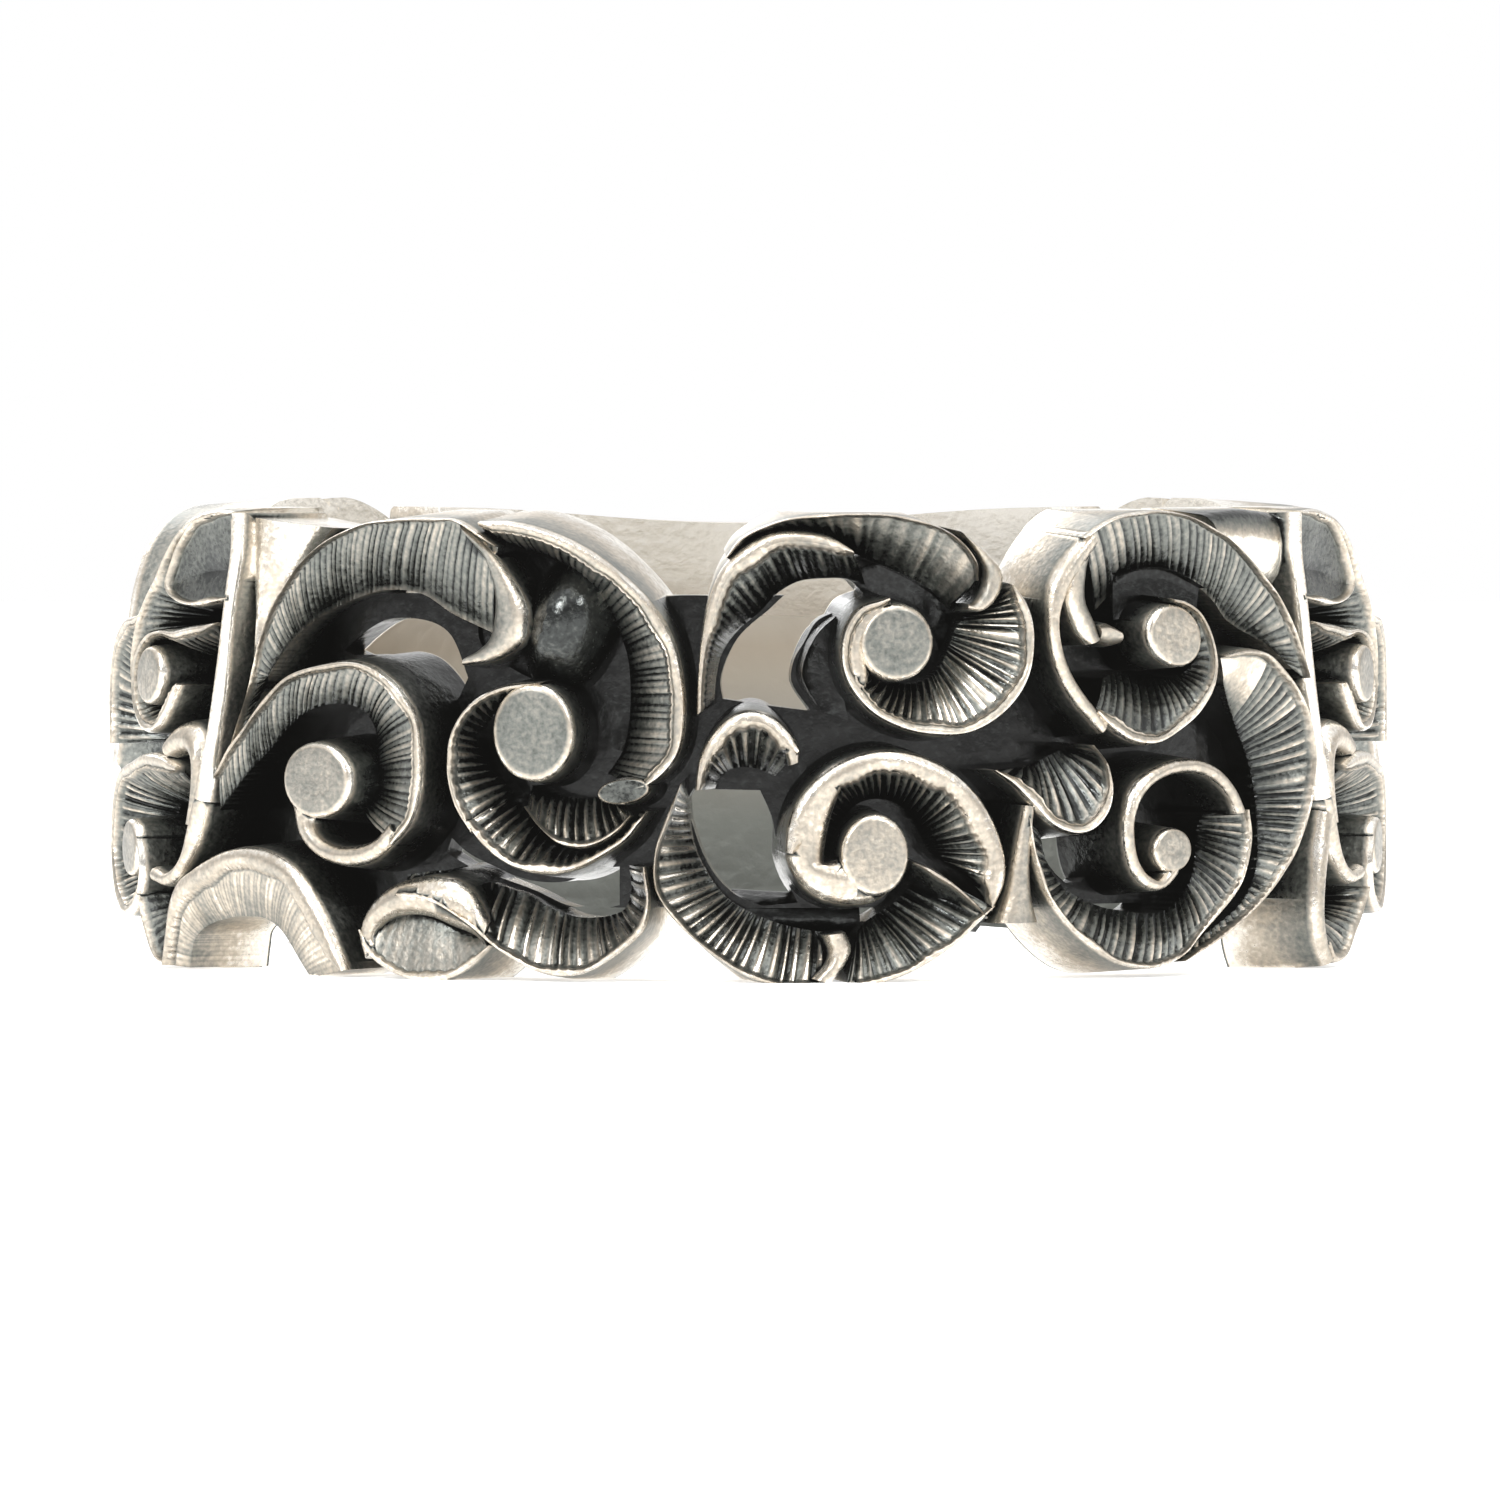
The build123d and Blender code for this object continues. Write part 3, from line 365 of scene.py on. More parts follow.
sideMotif = {
    "scrolls": {
        "stem": dict(rim=0, foot=1, tones=(1.25, 1.1), rows=[
            (139, 99, 142.5, 99), (139.3, 91, 142.6, 91), (141.2, 83, 144.3, 83.4),
            (142.9, 75.5, 145.8, 76), (144.2, 68, 147.4, 69), (145.8, 60, 149.5, 61.5),
            (148.3, 51.5, 151.6, 53.5), (150.5, 44, 155, 46), (152.5, 38, 157.5, 39.5),
        ]),
        "leaf": dict(rim=2.2, foot=0.86, rows=[
            (141, 99.4, 143.8, 86.3), (148, 99.7, 146.5, 86.3), (155, 98.4, 149.5, 86.3),
            (161, 94.2, 151.5, 86.5), (166, 88.8, 152, 86.6), (169.2, 83.3, 152, 86.8),
            (164.5, 80.3, 151, 87), (157, 79, 149.5, 87.2), (149, 79.6, 146.5, 87.2),
            (142.5, 80.8, 143.8, 87.2),
        ]),
        "topHorn": dict(rim=2.4, flutes="dim", pitch=2.4, rows=[
            (148, 98.8, 150, 92), (157, 98, 158.5, 88), (165, 93.5, 163, 84),
            (172, 87.5, 166.5, 80.5), (179, 81.5, 169.5, 77.8), (185.5, 75.5, 173, 75.8),
            (189.5, 68.5, 177.5, 73.5), (189, 63.5, 181.5, 71.5),
        ]),
        "volute": dict(rim=3, flutes="ribbed", pitch=2.6, rows=[
            (147, 76, 152, 70.5), (156, 75.3, 157, 69.5), (164.5, 74.3, 163.5, 68),
            (172, 74, 171.8, 71), (180, 72.5, 178.5, 69.8), (186.8, 68, 183.5, 66.5),
            (189, 62, 184.5, 63), (187, 56.5, 183, 60), (181, 52.3, 178.5, 58.5),
            (173.5, 52.8, 174, 60), (167, 57.3, 171, 62.5), (162.5, 62.5, 169, 65.5),
        ]),
        "bulb": dict(rim=0, foot=1, rows=[
            (171.5, 51, 169, 46.3), (165.5, 54.5, 164.5, 47.5), (159.5, 54.8, 160.8, 47.3),
            (155.5, 51.5, 158.7, 45.2), (154.5, 45.5, 158.5, 42), (155, 39, 159.3, 38),
            (156.5, 33, 161, 33.5),
        ]),
        "crescent": dict(rim=3, flutes="ribbed", pitch=2.4, rows=[
            (184, 77, 184, 69), (196, 75.5, 192, 67), (206, 70, 199.5, 62), (212.5, 61, 204.5, 56),
            (211.5, 49, 203.5, 49.5),
        ]),
        "lowerStem": dict(rim=0, foot=1, rows=[
            (152, 40, 158, 38.5), (155, 33, 161, 32), (158.5, 27, 163.5, 26.5),
            (163.5, 22.3, 167, 24), (170, 19.8, 171.5, 23), (177.5, 20.5, 177, 24),
        ]),
        "leftLeg": dict(rim=0, foot=1, rows=[
            (153, 36, 158, 34), (150.8, 28, 156.2, 27.5), (149.3, 20, 154.1, 20),
            (149.2, 13, 153.6, 13.2), (151, 7, 155.4, 8.4), (154.6, 2.9, 157.6, 5.8),
        ]),
        "lowerFan": dict(rim=2.4, flutes="ribbed", pitch=2.4, rows=[
            (153.8, 7.6, 158.5, 16.5), (157, 3.8, 160.3, 15.8), (163, 4.2, 163.5, 15),
            (169.5, 8.5, 167, 14.8), (175.5, 13.5, 170.5, 15.8), (181, 19, 174, 17.5),
        ]),
        "lowerVolute": dict(rim=4, flutes="ribbed", pitch=2.6, rows=[
            (163, 45.5, 166, 38), (172, 47.8, 172, 38.6), (181, 47.8, 178.5, 38),
            (190, 46, 184, 37), (199, 44, 190, 37), (206, 39.3, 194, 34.8),
            (210, 32.5, 196.5, 31.5), (210, 25, 197, 27.8), (206, 18, 195.5, 24),
            (199, 13.5, 192.5, 21.3), (191, 13.2, 189, 21.3), (184.5, 17, 186, 24),
            (182, 23.5, 186.5, 27.5), (184, 29.5, 189, 30),
        ]),
        "farFan": dict(rim=1.6, flutes="dim", pitch=2.4, rows=[
            (170, 3.6, 171, 16), (174, 4.4, 174, 15.5), (178.5, 8, 177, 15), (182.5, 13, 180, 16),
            (185, 18, 182, 18),
        ]),
        # painted reflection: this pane's tones run from black at its top to bare white at its foot,
        # standing in for the white light that its glossy face reflects
        "pane": dict(rim=0, high=0.9, foot=0.8, tones=(0.02, 3), rows=[
            (113, 98.8, 118, 89), (120, 99.4, 125, 86), (128, 99.6, 132, 84.5),
            (139, 98.8, 140, 82.5),
        ]),
    },
    "eyes": {
        "eye": dict(at=(177.7, 64.3), half=(7.4, 6.2), turn=-18, tone=0.6),
        "lowerEye": dict(at=(190.5, 27.5), half=(6.2, 6.2), turn=0, tone=0.6),
    },
    "openings": {
        "upper": [
            (151, 68, 161, 67), (152.5, 63, 162, 62), (155, 58, 161, 58),
        ],
        "lower": [
            (165, 37, 183, 36), (163.5, 32, 182, 30), (165, 28, 181.5, 25.5), (170, 24.5, 180, 22),
        ],
    },
}


def deselect():
    if bpy.context.mode != "OBJECT":
        bpy.ops.object.mode_set(mode="OBJECT")
    bpy.ops.object.select_all(action="DESELECT")


def place(x, y, radius):
    turn = 2 * math.pi * x / chart["columns"]
    rise = (y - chart["flatRow"]) * row
    return (radius * math.sin(turn), -radius * math.cos(turn), rise)


def columnBehind(x, radius):
    seen = math.sin(2 * math.pi * x / chart["columns"]) * ring["outer"] / radius
    return math.asin(max(-1, min(1, seen))) * chart["columns"] / (2 * math.pi)


# a sunk point is moved round and out so that the front view shows it where it was charted
def settle(x, radius, slope, facing):
    if not facing or radius >= ring["outer"]:
        return x, radius
    shift = columnBehind(x, radius) - x
    share = min(1, chart["lean"] * slope / max(abs(shift), 1e-6))
    if share == 1:
        return x + shift, radius
    settled = x + share * shift
    seen = ring["outer"] * math.sin(2 * math.pi * x / chart["columns"])
    return settled, seen / math.sin(2 * math.pi * settled / chart["columns"])


# a smooth line through the rows: returns a function of the way along, and its length
def smoothLine(rows):
    at = [0]
    for near, far in zip(rows, rows[1:]):
        at.append(at[-1] + max(math.dist(near[:2], far[:2]), math.dist(near[2:], far[2:])))
    last = len(rows) - 1
    slopes = []
    for i in range(len(rows)):
        low, high = max(i - 1, 0), min(i + 1, last)
        slopes.append([(rows[high][k] - rows[low][k]) / (at[high] - at[low]) for k in range(4)])

    def along(way):
        i = 0
        while i < last - 1 and way > at[i + 1]:
            i += 1
        span = at[i + 1] - at[i]
        t = (way - at[i]) / span
        a = (1 + 2 * t) * (1 - t) ** 2
        b = t * (1 - t) ** 2 * span
        c = t * t * (3 - 2 * t)
        d = t * t * (t - 1) * span
        return [
            a * rows[i][k] + b * slopes[i][k] + c * rows[i + 1][k] + d * slopes[i + 1][k]
            for k in range(4)
        ]

    return along, at[-1]


# polish is how far the dark patina has been rubbed off, 0 to 1, and shelter is the open share
# of the sky that a point needs before any of it is
patina = {
    "wallPolish": 1.0,
    "sunkPolish": 0.02,  # the wall below a sunk foot
    "floorPolish": 0.01,
    "openingPolish": 0.05,
    "blankPolish": 0.9,  # where a scroll is trimmed to the ring's flat edges
    "borePolish": 0.03,
    "rimShelter": 0.01,
    "footShelter": 0.1,
    "slopeShelter": 0.2,
    "wallShelter": 0.3,
    "floorShelter": 0.5,
    "reach": 0.0018,  # what is farther off than this shelters nothing
    "rays": 24,
    "soft": 0.22,  # the open share over which the polish comes in
    "boreEdge": 0.00005,  # a point this near the bore belongs to a wall
    "facing": 0.8,  # a new point that faces out by this much takes its neighbour's polish
    "lift": 0.00003,  # rays start this far off the surface
    "liftOut": 0.00005,  # and this far outwards
    "deeper": 0.0003,  # a wall is looked at from this far below its rim
    "level": 0.35,  # and one that faces an edge of the ring by this much is bright
}
# across a rim: share of its width, drop in metres, polish
rimProfile = (
    (0.00, 0.00018, 0.45),
    (0.06, 0.00007, 0.95),
    (0.20, 0.00001, 0.90),
    (0.40, 0.00000, 0.74),
    (0.58, 0.00002, 0.70),
    (0.72, 0.00006, 0.55),
    (0.86, 0.00003, 0.82),
    (1.00, 0.00013, 0.45),
)
narrowProfile = (
    (0.00, 0.00016, 0.45),
    (0.12, 0.00006, 0.90),
    (0.32, 0.00001, 0.85),
    (0.50, 0.00000, 0.78),
    (0.62, 0.00001, 0.76),
    (0.74, 0.00003, 0.74),
    (0.88, 0.00007, 0.70),
    (1.00, 0.00014, 0.45),
)
broadProfile = (
    (0.00, 0.00022, 0.45),
    (0.05, 0.00011, 0.90),
    (0.16, 0.00004, 0.88),
    (0.34, 0.00001, 0.78),
    (0.56, 0.00000, 0.72),
    (0.76, 0.00004, 0.74),
    (0.91, 0.00011, 0.80),
    (1.00, 0.00020, 0.50),
)
# across the slope from the rim to the foot: share of its width, share of its fall, how much
# of a flute is cut there, how much of the flute's polish it has
slopeProfile = (
    (0.04, 0.03, 0.8, 1.0),
    (0.22, 0.15, 1.0, 1.0),
    (0.45, 0.36, 1.0, 0.95),
    (0.70, 0.63, 1.0, 0.8),
    (0.90, 0.89, 0.8, 0.55),
    (1.00, 1.00, 0.3, 0.3),
)
# the flutes' cuts: depth in metres, polish in the valleys and on the crests, how far that
# fades towards the foot, how much the flutes differ in wear, and the steps along one flute:
# share of the pitch, share of the depth
fluteStyles = {
    "etched": dict(
        depth=0.000028, valley=0.15, crest=0.55, fade=1.0, patchy=0.25,
        steps=((0, 1), (0.2, 0.5), (0.42, 0.0), (0.8, 0.2)),
    ),
    "dim": dict(
        depth=0.00005, valley=0.1, crest=0.46, fade=1.0, patchy=0.3,
        steps=((0, 1), (0.25, 0.6), (0.5, 0.0), (0.8, 0.5)),
    ),
    "soft": dict(
        depth=0.00004, valley=0.4, crest=0.6, fade=0.7, patchy=0.25,
        steps=((0, 1), (0.2, 0.75), (0.4, 0.15), (0.6, 0.0), (0.8, 0.6)),
    ),
    "satin": dict(
        depth=0.000012, valley=0.58, crest=0.74, fade=0.35, patchy=0.15,
        steps=((0, 1), (0.2, 0.6), (0.4, 0.1), (0.7, 0.0), (0.85, 0.5)),
    ),
    "plain": dict(
        depth=0.000008, valley=0.5, crest=0.62, fade=0.6, patchy=0.03,
        steps=((0, 1), (0.25, 0.8), (0.5, 0.2), (0.7, 0.0), (0.85, 0.5)),
    ),
    "ribbed": dict(
        depth=0.00008, valley=0.14, crest=0.62, fade=1.0, patchy=0.3,
        steps=((0, 1), (0.22, 0.85), (0.4, 0.15), (0.58, 0.0), (0.78, 0.8)),
    ),
    "bright": dict(
        depth=0.00011, valley=0.14, crest=0.98, fade=0.8, patchy=0.3,
        steps=((0, 1), (0.24, 0.8), (0.4, 0.1), (0.58, 0.0), (0.76, 0.8)),
    ),
}
scrollDetail = {
    "plainStep": 1.6,  # columns between sections where there are no flutes
    "coarseStep": 3.0,  # the same on the copies at the back
    "rimMost": 0.45,  # the widest that a rim may be, as a share of the whole
    "broadMost": 0.55,
    "narrow": 2.4,  # rims up to this wide, in columns, are plain beads
    "broad": 4.5,  # and from here on they are broad domed ones
    "uneven": 0.35,  # how much the flutes differ in width
    "cuts": (0.6, 1.2),  # and in depth
    "plainCut": 0.5,  # the depth where there are no flutes
    "scallop": 0.45,  # columns that a flute bites into the rim's inner edge
    "scallopMost": 0.2,  # and the share of the rim that it may take
    "scallopFrom": 0.6,
    "bandDome": 0.00003,  # how much a band's edges fall for each column of its width
    "bandDomeMost": 0.00022,
    "waver": 0.17,  # how much a narrow rim's width wavers, and broader ones less
    "waves": ((3.1, 1, 1.0), (1.7, 2, 0.6)),  # columns, turns of the phase, share
    "taper": 5.0,  # columns over which a rim thins towards its ends
    "tip": 0.4,  # and the share of its width that is left there
    "tipWear": 1.35,  # a plain tip is polished by this much more than a flute's crest
    "sunkFoot": 0.6,  # the wall below a foot no higher than this stays dark
    "sunkRim": 0.85,  # a scroll with a rim no higher than this is hardly worn
    "sunkWorn": 0.1,
    "openingStep": 1.5,  # columns between an opening's sections
}
# across a band: share of its width, drop in metres besides the dome, polish
bandStations = (
    (0.00, 0.00015, 0.45),
    (0.06, 0.00006, 0.92),
    (0.20, 0.00003, 0.84),
    (0.40, 0.00003, 0.74),
    (0.60, 0.00003, 0.72),
    (0.80, 0.00003, 0.78),
    (0.94, 0.00006, 0.88),
    (1.00, 0.00015, 0.45),
)


def bandSection(rim, foot, reach, shape):
    (rimX, rimY, rimR), (footX, footY, footR) = rim, foot
    dome = min(scrollDetail["bandDome"] * reach, scrollDetail["bandDomeMost"])
    rimTone, footTone = shape.get("tones", (1, 1))
    points, polish = [], []
    for share, drop, shine in bandStations:
        radius = rimR + (footR - rimR) * share - drop - dome * (2 * share - 1) ** 2
        x = rimX + (footX - rimX) * share
        points.append(place(x, rimY + (footY - rimY) * share, radius))
        tone = rimTone + (footTone - rimTone) * share
        polish.append((shape["worn"] * shine * tone, patina["rimShelter"]))
    return points, polish


def flutedSection(rim, foot, reach, shape, cut):
    (rimX, rimY, rimR), (footX, footY, footR) = rim, foot
    acrossX, acrossY = (footX - rimX) / reach, (footY - rimY) / reach
    style = fluteStyles[shape.get("flutes", "dim")]
    dip, wear, spread = cut
    profile = rimProfile
    if shape["rim"] <= scrollDetail["narrow"]:
        profile = narrowProfile
    if shape["rim"] >= scrollDetail["broad"]:
        profile = broadProfile
    most = scrollDetail["broadMost" if profile is broadProfile else "rimMost"]
    rimWide = min(shape["rim"] * spread, most * reach)
    lowest = profile[-1][1]
    fall = max(rimR - lowest - footR, 0)
    bite = min(scrollDetail["scallop"], scrollDetail["scallopMost"] * rimWide) * min(1, dip)
    start = scrollDetail["scallopFrom"]
    points, polish = [], []
    for share, drop, shine in profile:
        way = rimWide * share - bite * max(0, share - start) / (1 - start)
        points.append(place(rimX + acrossX * way, rimY + acrossY * way, rimR - drop))
        polish.append((shape["worn"] * shine, patina["rimShelter"]))
    fluted = style["crest"] + (style["valley"] - style["crest"]) * min(1, dip)
    for share, fallen, cutShare, shine in slopeProfile:
        way = rimWide + (reach - rimWide) * share
        radius = rimR - lowest - fallen * fall - cutShare * dip * style["depth"]
        points.append(place(rimX + acrossX * way, rimY + acrossY * way, radius))
        worth = fluted * wear * (1 - style["fade"] * (1 - shine))
        if share == 1:
            worth = max(worth, shape.get("edge", 0))
        needed = patina["slopeShelter" if share < 1 else "footShelter"]
        polish.append((shape["worn"] * worth, needed))
    return points, polish


def scrollSection(line, shape, facing, cut):
    rimX, rimY, footX, footY = line
    slope = math.hypot(footX - rimX, footY - rimY)
    footX, footR = settle(footX, ring["bore"] + wall * shape["foot"], slope, facing)
    rimX, rimR = settle(rimX, ring["bore"] + wall * shape["high"], slope, facing)
    reach = math.hypot(footX - rimX, footY - rimY)
    outX = (footX - rimX) / reach * ring["draft"] / column
    outY = (footY - rimY) / reach * ring["draft"] / column
    rim, foot = (rimX, rimY, rimR), (footX, footY, footR)
    if shape["rim"] > 0:
        across, polish = flutedSection(rim, foot, reach, shape, cut)
    else:
        across, polish = bandSection(rim, foot, reach, shape)
    points = [place(rimX - outX, rimY - outY, rootRadius), *across]
    points.append(place(footX, footY, rootRadius))
    rimShine = footShine = patina["wallPolish"] * shape["worn"]
    if shape["foot"] <= scrollDetail["sunkFoot"]:
        footShine = patina["sunkPolish"]
    needed = patina["wallShelter"]
    return points, [(rimShine, needed), *polish, (footShine, needed)]


# the ways along a scroll where sections stand, each with the depth of the cut and its wear
def sectionWays(length, shape, fine, dice):
    if "flutes" not in shape or not fine:
        step = scrollDetail["plainStep"] if fine else scrollDetail["coarseStep"]
        count = max(4, round(length / step))
        return [(length * n / count, scrollDetail["plainCut"], 1) for n in range(count + 1)]
    style = fluteStyles[shape["flutes"]]
    flutes = max(2, round(length / shape["pitch"]))
    widths = [1 + dice.uniform(-1, 1) * scrollDetail["uneven"] for _ in range(flutes)]
    scale = length / sum(widths)
    ways = []
    start = 0
    for wide in widths:
        depth = dice.uniform(*scrollDetail["cuts"])
        wear = 1 + dice.uniform(-1, 1) * style["patchy"]
        for share, cut in style["steps"]:
            ways.append((start + share * wide * scale, cut * depth, wear))
        start += wide * scale
    ways.append((length, scrollDetail["plainCut"], 1))
    return ways


# how wide the rim is at one way along, as a share of its full width
def rimSpread(way, length, rim, phase):
    waver = 0
    for long, turns, share in scrollDetail["waves"]:
        waver += share * math.sin(way / long + turns * phase)
    end = min(way, length - way) / scrollDetail["taper"]
    tip = scrollDetail["tip"] + (1 - scrollDetail["tip"]) * min(1, end)
    return tip * (1 + waver * scrollDetail["waver"] / max(1, rim / 2))


def setPolish(piece, pairs):
    for name, values in zip(("polish", "shelter"), zip(*pairs)):
        piece.data.attributes.new(name, "FLOAT", "POINT").data.foreach_set("value", values)


def closedTube(name, sections):
    across = len(sections[0][0])
    deselect()
    bpy.ops.mesh.primitive_grid_add(x_subdivisions=across, y_subdivisions=len(sections) - 1)
    tube = bpy.context.object
    tube.name = name
    corners, shines = [], []
    for outline, polish in sections:
        corners += outline + outline[:1]
        shines += polish + polish[:1]
    tube.data.vertices.foreach_set("co", [value for corner in corners for value in corner])
    setPolish(tube, shines)
    bpy.ops.object.mode_set(mode="EDIT")
    bpy.ops.mesh.select_all(action="SELECT")
    bpy.ops.mesh.remove_doubles(threshold=1e-7)
    bpy.ops.mesh.select_all(action="SELECT")
    bpy.ops.mesh.fill_holes(sides=0)
    bpy.ops.mesh.select_all(action="SELECT")
    bpy.ops.mesh.normals_make_consistent(inside=False)
    bpy.ops.object.mode_set(mode="OBJECT")
    return tube


def makeScroll(name, given, facing, fine, dice):
    shape = {"high": 1, "foot": 0.5, **given}
    sunk = shape["high"] <= scrollDetail["sunkRim"]
    shape.setdefault("worn", scrollDetail["sunkWorn"] if sunk else 1)
    along, length = smoothLine(shape["rows"])
    plain = shape.get("plainTip", 0) * length
    phase = dice.uniform(0, 6)  # where its rim's waver starts
    sections = []
    for way, dip, wear in sectionWays(length, shape, fine, dice):
        if way < plain:
            dip, wear = 0, scrollDetail["tipWear"]
        cut = (dip, wear, rimSpread(way, length, shape["rim"], phase))
        sections.append(scrollSection(along(way), shape, facing, cut))
    return closedTube(name, sections)


eyeDetail = {
    "sides": 40,
    # from the edge inwards: share of the half widths, drop in metres, polish, or the eye's tone
    "rings": (
        (1.0, 0.00020, 0.50),
        (0.985, 0.00010, 0.95),
        (0.95, 0.00004, 0.92),
        (0.89, 0.00001, 0.80),
        (0.82, 0.00000, None),
        (0.4, 0.00001, None),
    ),
    "domeRings": (1.0, 0.96, 0.86, 0.7, 0.5, 0.25),
}


def makeEye(name, eye):
    turn = math.radians(eye["turn"])
    sides = eyeDetail["sides"]

    def ringAt(grow, share, radius):
        outline = []
        for i in range(sides):
            angle = 2 * math.pi * i / sides
            acrossX = (eye["half"][0] + grow / column) * share * math.cos(angle)
            acrossY = (eye["half"][1] + grow / row) * share * math.sin(angle)
            x = eye["at"][0] + acrossX * math.cos(turn) - acrossY * math.sin(turn)
            y = eye["at"][1] + acrossX * math.sin(turn) + acrossY * math.cos(turn)
            outline.append(place(x, y, radius))
        return outline

    root = ringAt(ring["draft"], 1, rootRadius)
    sections = [(root, [(patina["wallPolish"], patina["wallShelter"])] * sides)]
    if "dome" in eye:
        for share in eyeDetail["domeRings"]:
            outline = ringAt(0, share, ring["bore"] + wall * (eye["high"] - eye["dome"] * share**2))
            sections.append((outline, [(eye["tone"], patina["rimShelter"])] * sides))
    else:
        for share, drop, shine in eyeDetail["rings"]:
            outline = ringAt(0, share, ring["outer"] - drop)
            sections.append((outline, [(shine or eye["tone"], patina["rimShelter"])] * sides))
    return closedTube(name, sections)


def makeOpening(name, rows, facing):
    along, length = smoothLine(rows)
    count = max(6, round(length / scrollDetail["openingStep"]))
    sections = []
    for n in range(count + 1):
        leftX, leftY, rightX, rightY = along(length * n / count)
        if facing:
            leftX = columnBehind(leftX, floorRadius)
            rightX = columnBehind(rightX, floorRadius)
        outline = [
            place(leftX, leftY, rootRadius),
            place(leftX, leftY, ring["outer"]),
            place(rightX, rightY, ring["outer"]),
            place(rightX, rightY, rootRadius),
        ]
        sections.append((outline, [(patina["openingPolish"], patina["floorShelter"])] * 4))
    return closedTube(name, sections)


def boolean(target, tool, operation):
    deselect()
    target.select_set(True)
    bpy.context.view_layer.objects.active = target
    cut = target.modifiers.new("cut", "BOOLEAN")
    cut.operation = operation
    cut.solver = "MANIFOLD"
    cut.object = tool
    bpy.ops.object.modifier_apply(modifier=cut.name)
    bpy.data.objects.remove(tool)
    return target


def makeMotif(name, motif, facing=True, fine=True, only=None, without=()):
    dice = random.Random(len(motif["scrolls"]))
    parts = [
        makeScroll(name + key, shape, facing, fine, dice)
        for key, shape in motif["scrolls"].items()
        if (only is None or key in only) and key not in without
    ]
    parts += [makeEye(name + key, eye) for key, eye in motif["eyes"].items()]
    cutters = [makeOpening(name + key, rows, facing) for key, rows in motif["openings"].items()]
    whole = parts[0]
    for part in parts[1:]:
        boolean(whole, part, "UNION")
    print(name, len(whole.data.polygons), "faces")
    return whole, cutters


def turned(source, columns, mirrored=False):
    copy = source.copy()
    copy.data = source.data.copy()
    bpy.context.collection.objects.link(copy)
    copy.rotation_euler.z = 2 * math.pi * columns / chart["columns"]
    copy.scale.x = -1 if mirrored else 1
    deselect()
    copy.select_set(True)
    bpy.context.view_layer.objects.active = copy
    bpy.ops.object.transform_apply(location=True, rotation=True, scale=True)
    if mirrored:
        bpy.ops.object.mode_set(mode="EDIT")
        bpy.ops.mesh.select_all(action="SELECT")
        bpy.ops.mesh.normals_make_consistent(inside=False)
        bpy.ops.object.mode_set(mode="OBJECT")
    return copy


layout = {
    "sideTurn": 16,  # columns that the left side's copy is turned towards the front
    "backTurn": 363,  # columns from the front's left motif to its copy behind the right side
    "backNames": (
        "leftHorn", "leftFace", "rightHorn", "outerVolute", "outerCurl", "innerVolute",
        "innerCurl", "lowerHorn",
    ),
    # on the left the arch and the left horn's wall stand where these would
    "farSideWithout": ("leftLeg", "lowerFan", "pane"),
    "sideWithout": ("farFan",),
}
leaf = makeMotif("leaf", leafMotif)
twin = makeMotif("twin", twinMotif)
crest = makeMotif("crest", crestMotif)
side = makeMotif("side", sideMotif, facing=False, without=layout["sideWithout"])
farSide = makeMotif("farSide", sideMotif, facing=False, without=layout["farSideWithout"])
back = makeMotif("back", leafMotif, fine=False, only=layout["backNames"])


def copies(group, columns, mirrored=False):
    whole, cutters = group
    return turned(whole, columns, mirrored), [turned(one, columns, mirrored) for one in cutters]


groups = [
    leaf,
    twin,
    crest,
    copies(farSide, layout["sideTurn"], mirrored=True),
    side,
    copies(back, layout["backTurn"]),
    copies(back, -layout["backTurn"], mirrored=True),
]
for leftover in (back[0], *back[1], farSide[0], *farSide[1]):
    bpy.data.objects.remove(leftover)
print("motifs placed")

shank = {
    "start": 144,
    "steps": 60,
    "wide": ring["width"] - 0.0004,
    "narrow": 0.0068,
    "wall": cadHigh.y - ring["bore"],
    "crown": 0.00035,
    "polish": 0.72,
    # over the shank's width: share of the half width, share of the crown's fall
    "crownShape": (
        (-1, 1.25), (-0.985, 1), (-0.8, 0.55), (-0.4, 0.12), (0, 0),
        (0.4, 0.12), (0.8, 0.55), (0.985, 1), (1, 1.25),
    ),
}


def makeShank():
    sections = []
    for i in range(shank["steps"] + 1):
        share = i / shank["steps"]
        turn = math.radians(shank["start"] + (360 - 2 * shank["start"]) * share)
        wide = 0.5 + 0.5 * math.cos(2 * math.pi * share)
        half = (shank["wide"] * wide + shank["narrow"] * (1 - wide)) / 2
        thick = ring["bore"] + wall * wide + shank["wall"] * (1 - wide)
        outline = [(rootRadius, -half)]
        for share, fall in shank["crownShape"]:
            outline.append((thick - fall * shank["crown"], half * share))
        outline.append((rootRadius, half))
        corners = [
            (radius * math.sin(turn), -radius * math.cos(turn), ring["width"] / 2 + rise)
            for radius, rise in outline
        ]
        sections.append((corners, [(shank["polish"], patina["rimShelter"])] * len(corners)))
    return closedTube("shank", sections)


def addCylinder(radius, low, high, sides):
    deselect()
    bpy.ops.mesh.primitive_cylinder_add(
        vertices=sides, radius=radius, depth=high - low, location=(0, 0, (low + high) / 2)
    )
    bpy.ops.object.transform_apply(location=True)
    return bpy.context.object


def polishAll(piece, polish, shelter):
    setPolish(piece, [(patina[polish], patina[shelter])] * len(piece.data.vertices))


